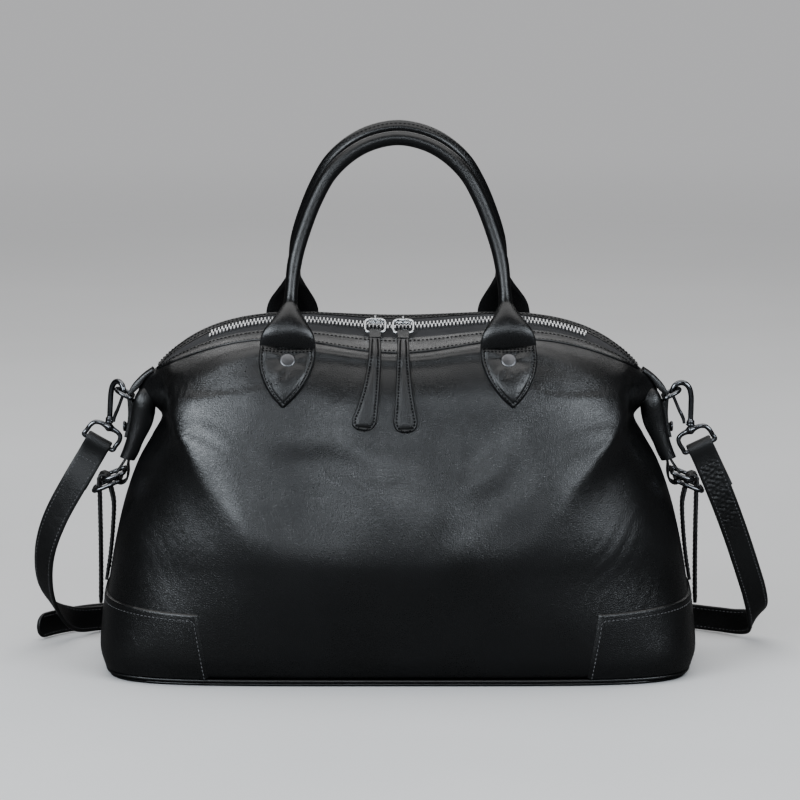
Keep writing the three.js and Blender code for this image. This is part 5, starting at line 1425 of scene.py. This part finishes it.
def metal_ring(bar, bow, size, mirror):
    """Bent wire ring: a straight bar inside its leather and a bow that stands out of it."""
    start = np.array([bar[0], 0, bar[1]], float)
    reach = np.array([bow[0], 0, bow[1]], float) - start
    half, power = size["half_width"], 2 / size["roundness"]
    turn = np.linspace(0, np.pi, 41)
    across = squared(np.cos(turn), power) * half
    along = RING_FORM["shoulder"] + RING_FORM["bow"] * np.sin(turn) ** power
    bowed = start + reach * along[:, None] + across[:, None] * [0, 1, 0]
    bar_half, corner_half = half - RING_FORM["bar_inset"], half - RING_FORM["corner_inset"]
    straight = np.array([start + [0, y, 0] for y in np.linspace(-bar_half, bar_half, 12)])
    corners = [[start + reach * RING_FORM["corner"] + [0, y, 0]] for y in (corner_half, -corner_half)]
    path = even_ring(np.vstack([straight, corners[0], bowed, corners[1]]), RING_FORM["step"])
    normal = unit(np.cross(reach, [0, 1.0, 0]))
    return tube(Shape(), mirrored(path, mirror), mirrored(normal, mirror), size["wire"], ring=True)


def hook_frame(end):
    lean, twist = math.radians(end["lean"]), math.radians(end["twist"])
    stem = np.array([-math.sin(lean), 0, math.cos(lean)])
    out = np.array([math.cos(lean), 0, math.sin(lean)]) * math.cos(twist) + np.array([0, math.sin(twist), 0])
    foot = np.array([SWIVEL[0], 0, SWIVEL[1]]) + end["foot"]
    return foot, stem, out, unit(np.cross(out, stem))


def hook_wire(end, rows):
    """Path of a hook's wire, the way square to it and the rows' last column."""
    foot, stem, out, square = hook_frame(end)
    rows = smooth_path([(a, 0, b, last) for a, b, last in rows], 8)
    path = foot + out * rows[:, :1] + stem * rows[:, 2:3]
    return mirrored(path, end["mirror"]), mirrored(square, end["mirror"]), rows[:, 3]


def snap_hook(end):
    path, square, barrel = hook_wire(end, HOOK_PATH)
    radius = HOOK["wire"] + (HOOK["barrel"] - HOOK["wire"]) * np.clip(barrel, 0, 1)
    shape = tube(Shape(), path, square, radius, sides=18)
    foot, stem, out, _ = hook_frame(end)
    lug = np.array([foot + stem * HOOK_LUG["rise"] - out * reach for reach in HOOK_LUG["reach"]])
    tube(shape, mirrored(lug, end["mirror"]), square, HOOK_LUG["radius"])
    return turned(shape, HOOK_COLLAR, mirrored(foot, end["mirror"]), mirrored(stem, end["mirror"]), sides=28)


def hook_gate(end):
    path, square, radius = hook_wire(end, GATE_PATH)
    return tube(Shape(), path, square, radius)


def loop_frame(end):
    tilt = math.radians(end["tilt"])
    top = np.array([SWIVEL[0], 0, SWIVEL[1]]) + end["foot"]
    down = np.array([math.sin(tilt), 0, -math.cos(tilt)])
    outward = np.array([math.cos(tilt), 0, math.sin(tilt)])
    return top, down, outward, top + down * LOOP["length"] + outward * LOOP["lean"]


def strap_loop(end):
    top, down, outward, _ = loop_frame(end)
    rows = []
    for a, b, knob in LOOP_SHAPE:
        place = top + outward * (LOOP["half_width"] * a + LOOP["lean"] * b) + down * LOOP["length"] * b
        rows.append((*place, knob))
    rows = smooth_path(rows, 7, ring=True)
    radius = LOOP["wire"] + (LOOP["knob"] - LOOP["wire"]) * np.clip(rows[:, 3], 0, 1)
    return tube(Shape(), mirrored(rows[:, :3], end["mirror"]), (0, 1, 0), radius, sides=16, ring=True)


# Straps
def strap_fold(bar, along, back, sewn, wire):
    """Strap end folded round a bar and sewn down on itself."""
    around = wire + GAP + STRAP_THICK / 2 + STRAP_FOLD["around"]
    flat = STRAP_THICK / 2 + GAP / 2 + STRAP_FOLD["ply"]

    def at(down, off):
        return bar + along * down + back * off

    turn = [at(-around * math.sin(a), around * math.cos(a)) for a in np.radians([0, 45, 90, 135, 180])]
    close = STRAP_FOLD["flat_at"]
    return [at(sewn, flat), at(close, flat + GAP)] + turn + [at(close, -flat - GAP)]


def strap_route(end):
    """Middle line of a strap half with its way across, in even steps."""
    _, down, outward, bar = loop_frame(end)
    back = np.array([0, 1.0, 0])
    fold = strap_fold(bar, down, back, STRAP_FOLD["sewn_loop"], LOOP["wire"])
    path = [(*p, *outward) for p in fold]
    if end["name"] == "right":
        path += STRAP_RIGHT
    else:
        buckle = np.array([-(BUCKLE["x"] - BUCKLE["half_length"]), BUCKLE["y"], BUCKLE["z"]])
        fold = strap_fold(buckle, np.array([1.0, 0, 0]), back, STRAP_FOLD["sewn_buckle"], BUCKLE["wire"])
        path += STRAP_LEFT + [(*p, 0, 0, 1) for p in fold[::-1]]
    route = even(smooth_path(path, 14), 0.8) * [end["mirror"], 1, 1, end["mirror"], 1, 1]
    return route[:, :3], route[:, 3:]


def strap_relief(end):
    """Crumpled stretch of the right strap below its fold, and a slack wave along both."""
    def slack(along, across, up):
        return SLACK["left"] * np.sin(along / SLACK["length"] + across / SLACK["skew"]) * np.sign(up)

    def crumpled(along, across, up):
        where = (np.clip((along - CRUMPLE["low"]) / CRUMPLE["fade_in"], 0, 1)
                 * np.clip((CRUMPLE["high"] - along) / CRUMPLE["fade_out"], 0, 1)
                 * np.clip((CRUMPLE["half_width"] - np.abs(across)) / CRUMPLE["fade_aside"], 0, 1))
        rough = (np.sin(along * 1.9 + 1.9 * np.sin(across * 0.9)) + np.sin(along * 1.3 - across * 1.2 + 1.0)
                 + 0.7 * np.sin(across * 1.8 + along * 0.6 + 1.4 * np.sin(along * 0.5)))
        wave = SLACK["right"] * np.sin(along / SLACK["length"]) * np.sign(up)
        return np.where(up > 0, CRUMPLE["height"], 0.0) * rough * where + wave

    return slack if end["name"] == "left" else crumpled


def strap_piece(end):
    path, across = strap_route(end)
    return band(Shape(), path, across, STRAP_WIDTH / 2, STRAP_THICK, strap_relief(end),
                round_end=end["name"] == "right")


def strap_lines(end):
    """Stitch rows inside both edges of a strap on both faces, closed across near the fold."""
    path, across = strap_route(end)
    across, up = band_frame(path, across)
    length, aside = lengths(path), STRAP_STITCH["aside"]
    before_end = STRAP_STITCH["before_buckle" if end["name"] == "left" else "before_tip"]
    keep = (length > STRAP_STITCH["start"]) & (length < length[-1] - before_end)
    first = np.argmax(keep)
    lines = []
    for face in (-1, 1):
        height = face * (STRAP_THICK / 2 + STRAP_STITCH["lift"])
        rows = [(path + across * offset + up * height)[keep] for offset in (-aside, aside)]
        bridge = [path[first] + across[first] * offset + up[first] * height
                  for offset in np.linspace(-aside, aside, STRAP_STITCH["bridge"])]
        lines.append(np.concatenate([rows[0][::-1], bridge[1:-1], rows[1]]))
    return lines


def belt_rows():
    """Cinch belt up from its root, round the upper ring's bow and down to its tail."""
    bow, around = RING_BOWS["upper"], SIDE_RING["wire"] + GAP + BELT_THICK / 2 + 2 * EXTRA_GAP
    angles = np.radians([180, 135, 90, 45, 0])
    turn = [(bow[0] + around * math.cos(a), bow[1] + around * math.sin(a)) for a in angles]
    return BELT_ROOT + turn + BELT_TAIL


def belt_lines(mirror):
    path = even(smooth_path(side_rows(belt_rows()), 12), 1.2)
    up = np.cross(tangents(path), [0, 1.0, 0])
    keep = slice(BELT_STITCH["first"], len(path) - BELT_STITCH["last"])
    return [mirrored((path + [0, y, 0] + up * face * (BELT_THICK / 2 + THREAD_LIFT))[keep], mirror)
            for y in (-BELT_STITCH["y"], BELT_STITCH["y"]) for face in (-1, 1)]


strap_rows, belt_stitch_rows = [], []
rise = math.radians(D_RING["rise"])
d_bow = (D_BAR[0] + D_RING["reach"] * math.cos(rise), D_BAR[1] + D_RING["reach"] * math.sin(rise))
tab_cap = cap_profile(TAB_RIVET["radius"], TAB_RIVET["height"])
tab_cap = [(TAB_RIVET["radius"] * 0.5, -TAB_RIVET["stem"])] + tab_cap
for end in ENDS:
    name, mirror = end["name"], end["mirror"]
    holder = side_band(RING_HOLDER, HOLDER_HALF["ring"], HOLDER_THICK, mirror)
    belt = side_band(belt_rows(), BELT_WIDTH / 2, BELT_THICK, mirror, round_end=True)
    piece(f"side_tab_leather_{name}", side_tab(mirror), BODY_LEATHER, [f"side_tab_{name}"])
    piece(f"d_holder_leather_{name}", d_holder(mirror), BODY_LEATHER, [f"d_holder_{name}"])
    piece(f"ring_holder_leather_{name}", holder, BODY_LEATHER, [f"ring_holder_{name}"])
    piece(f"belt_leather_{name}", belt, STRAP_LEATHER, [f"side_belt_{name}"])
    ring = metal_ring(D_BAR, d_bow, D_RING, mirror)
    piece(f"d_ring_metal_{name}", ring, GUNMETAL, [f"d_ring_{name}"])
    for level in ("upper", "lower"):
        ring = metal_ring(RING_BARS[level], RING_BOWS[level], SIDE_RING, mirror)
        piece(f"side_ring_metal_{level}_{name}", ring, GUNMETAL, [f"side_ring_{level}_{name}"])
    cap = turned(Shape(), tab_cap, (mirror * TAB_RIVET_AT[0], 0, TAB_RIVET_AT[1]), (mirror, 0, 0))
    piece(f"tab_rivet_metal_{name}", cap, GUNMETAL, [f"tab_rivet_{name}"], sharp=35)
    piece(f"hook_metal_{name}", snap_hook(end), GUNMETAL, [f"hook_{name}"], f"hook_{name}")
    piece(f"gate_metal_{name}", hook_gate(end), GUNMETAL, [f"gate_{name}"], f"gate_{name}")
    piece(f"loop_metal_{name}", strap_loop(end), GUNMETAL, [f"strap_loop_{name}"])
    piece(f"strap_leather_{name}", strap_piece(end), STRAP_LEATHER, [f"strap_{name}"])
    strap_rows += strap_lines(end)
    belt_stitch_rows += belt_lines(mirror)
stitches("strap", strap_rows, STRAP_THREAD)
stitches("belt", belt_stitch_rows, BODY_THREAD)


def buckle_metal():
    c = BUCKLE["corner"]
    outline = [(-1, -c), (-c, -1), (c, -1), (1, -c), (1, c), (c, 1), (-c, 1), (-1, c)]
    path = [(BUCKLE["x"] + a * BUCKLE["half_length"], BUCKLE["y"], BUCKLE["z"] + b * BUCKLE["half_height"])
            for a, b in outline]
    return tube(Shape(), smooth_path(path, 7, ring=True), (0, 1, 0), BUCKLE["wire"], ring=True)


def keeper_leather(sides=56, squareness=0.22):
    thick, edge = KEEPER["thick"], KEEPER["rounding"]
    profile = [(0, -0.8), (0, 0.8), (edge, 1), (thick - edge, 1), (thick, 0.8), (thick, -0.8),
               (thick - edge, -1), (edge, -1)]
    rings = []
    for grow, share in profile:
        y = KEEPER["y"] + (KEEPER["half_y"] + grow) * squared(np.cos(turns(sides)), squareness)
        z = KEEPER["z"] + (KEEPER["half_z"] + grow) * squared(np.sin(turns(sides)), squareness)
        rings.append(np.stack([np.full(sides, KEEPER["x"] + share * KEEPER["length"] / 2), y, z], 1))
    return loft(Shape(), rings, ring=True)


piece("buckle_metal", buckle_metal(), GUNMETAL, ["strap_buckle"])
piece("keeper_leather", keeper_leather(), STRAP_LEATHER, ["strap_keeper"])


# Stage and light
def pale_floor():
    """Flat round floor that fades into the plain background towards its rim; glossy rays see it painted
    near-black, a painted dark reflection in the leather.
    """
    radius = FLOOR["radius"]
    rim = [(radius * math.cos(a), radius * math.sin(a), FLOOR["z"]) for a in turns(FLOOR["sides"])]
    mesh = bpy.data.meshes.new("floor")
    mesh.from_pydata(rim, [], [list(range(FLOOR["sides"]))])
    material, tree, surface, coords = new_material("pale_floor")
    made = put(tree, "ShaderNodeGroup", {"Vector": coords.outputs["Object"], "Scale": 3.0}, node_tree=MARKS)
    tone = mix_color(tree, made.outputs["Smudge"], (0.8, 0.795, 0.79, 1), (0.84, 0.835, 0.83, 1))
    painted_reflection_mask = put(tree, "ShaderNodeLightPath").outputs["Is Glossy Ray"]
    away = put(tree, "ShaderNodeVectorMath", {0: coords.outputs["Object"]}, operation="LENGTH")
    fade = remap(tree, away.outputs["Value"], FLOOR["fade"], radius, 1.0, 0.0, "SMOOTHSTEP")
    # Painted dark reflection: rays from glossy surfaces see this floor as 0.05 grey instead of its pale tone
    tree.links.new(mix_color(tree, painted_reflection_mask, tone, (0.05, 0.05, 0.05, 1)), surface.inputs["Base Color"])
    tree.links.new(fade, surface.inputs["Alpha"])
    surface.inputs["Roughness"].default_value = 0.75
    mesh.materials.append(material)
    floor = bpy.data.objects.new("floor", mesh)
    bpy.context.scene.collection.objects.link(floor)


def soft_light(name, at, size, power, aim=BAG_MIDDLE, color=(1, 1, 1), spin=0.0):
    data = bpy.data.lights.new(name, "AREA")
    data.shape = "RECTANGLE"
    data.size, data.size_y = size
    data.energy = power
    data.color = color
    lamp = bpy.data.objects.new(name, data)
    lamp.location = at
    lamp.visible_camera = False
    way = Vector(aim) - Vector(at)
    lamp.rotation_euler = way.to_track_quat("-Z", "Y").to_euler()
    lamp.rotation_euler.rotate_axis("Z", math.radians(spin))
    bpy.context.scene.collection.objects.link(lamp)


def plain_background():
    """Even background that the camera sees bright and that lights the bag only a little."""
    world = bpy.data.worlds.new("studio")
    world.use_nodes = True
    tree = world.node_tree
    surface = tree.nodes["Background"].inputs
    seen = put(tree, "ShaderNodeLightPath").outputs["Is Camera Ray"]
    strength = remap(tree, seen, 0.0, 1.0, BACKGROUND["light"], BACKGROUND["seen"])
    surface["Color"].default_value = BACKGROUND["color"]
    tree.links.new(strength, surface["Strength"])
    bpy.context.scene.world = world


pale_floor()
for light in LIGHTS:
    soft_light(**light)
plain_background()
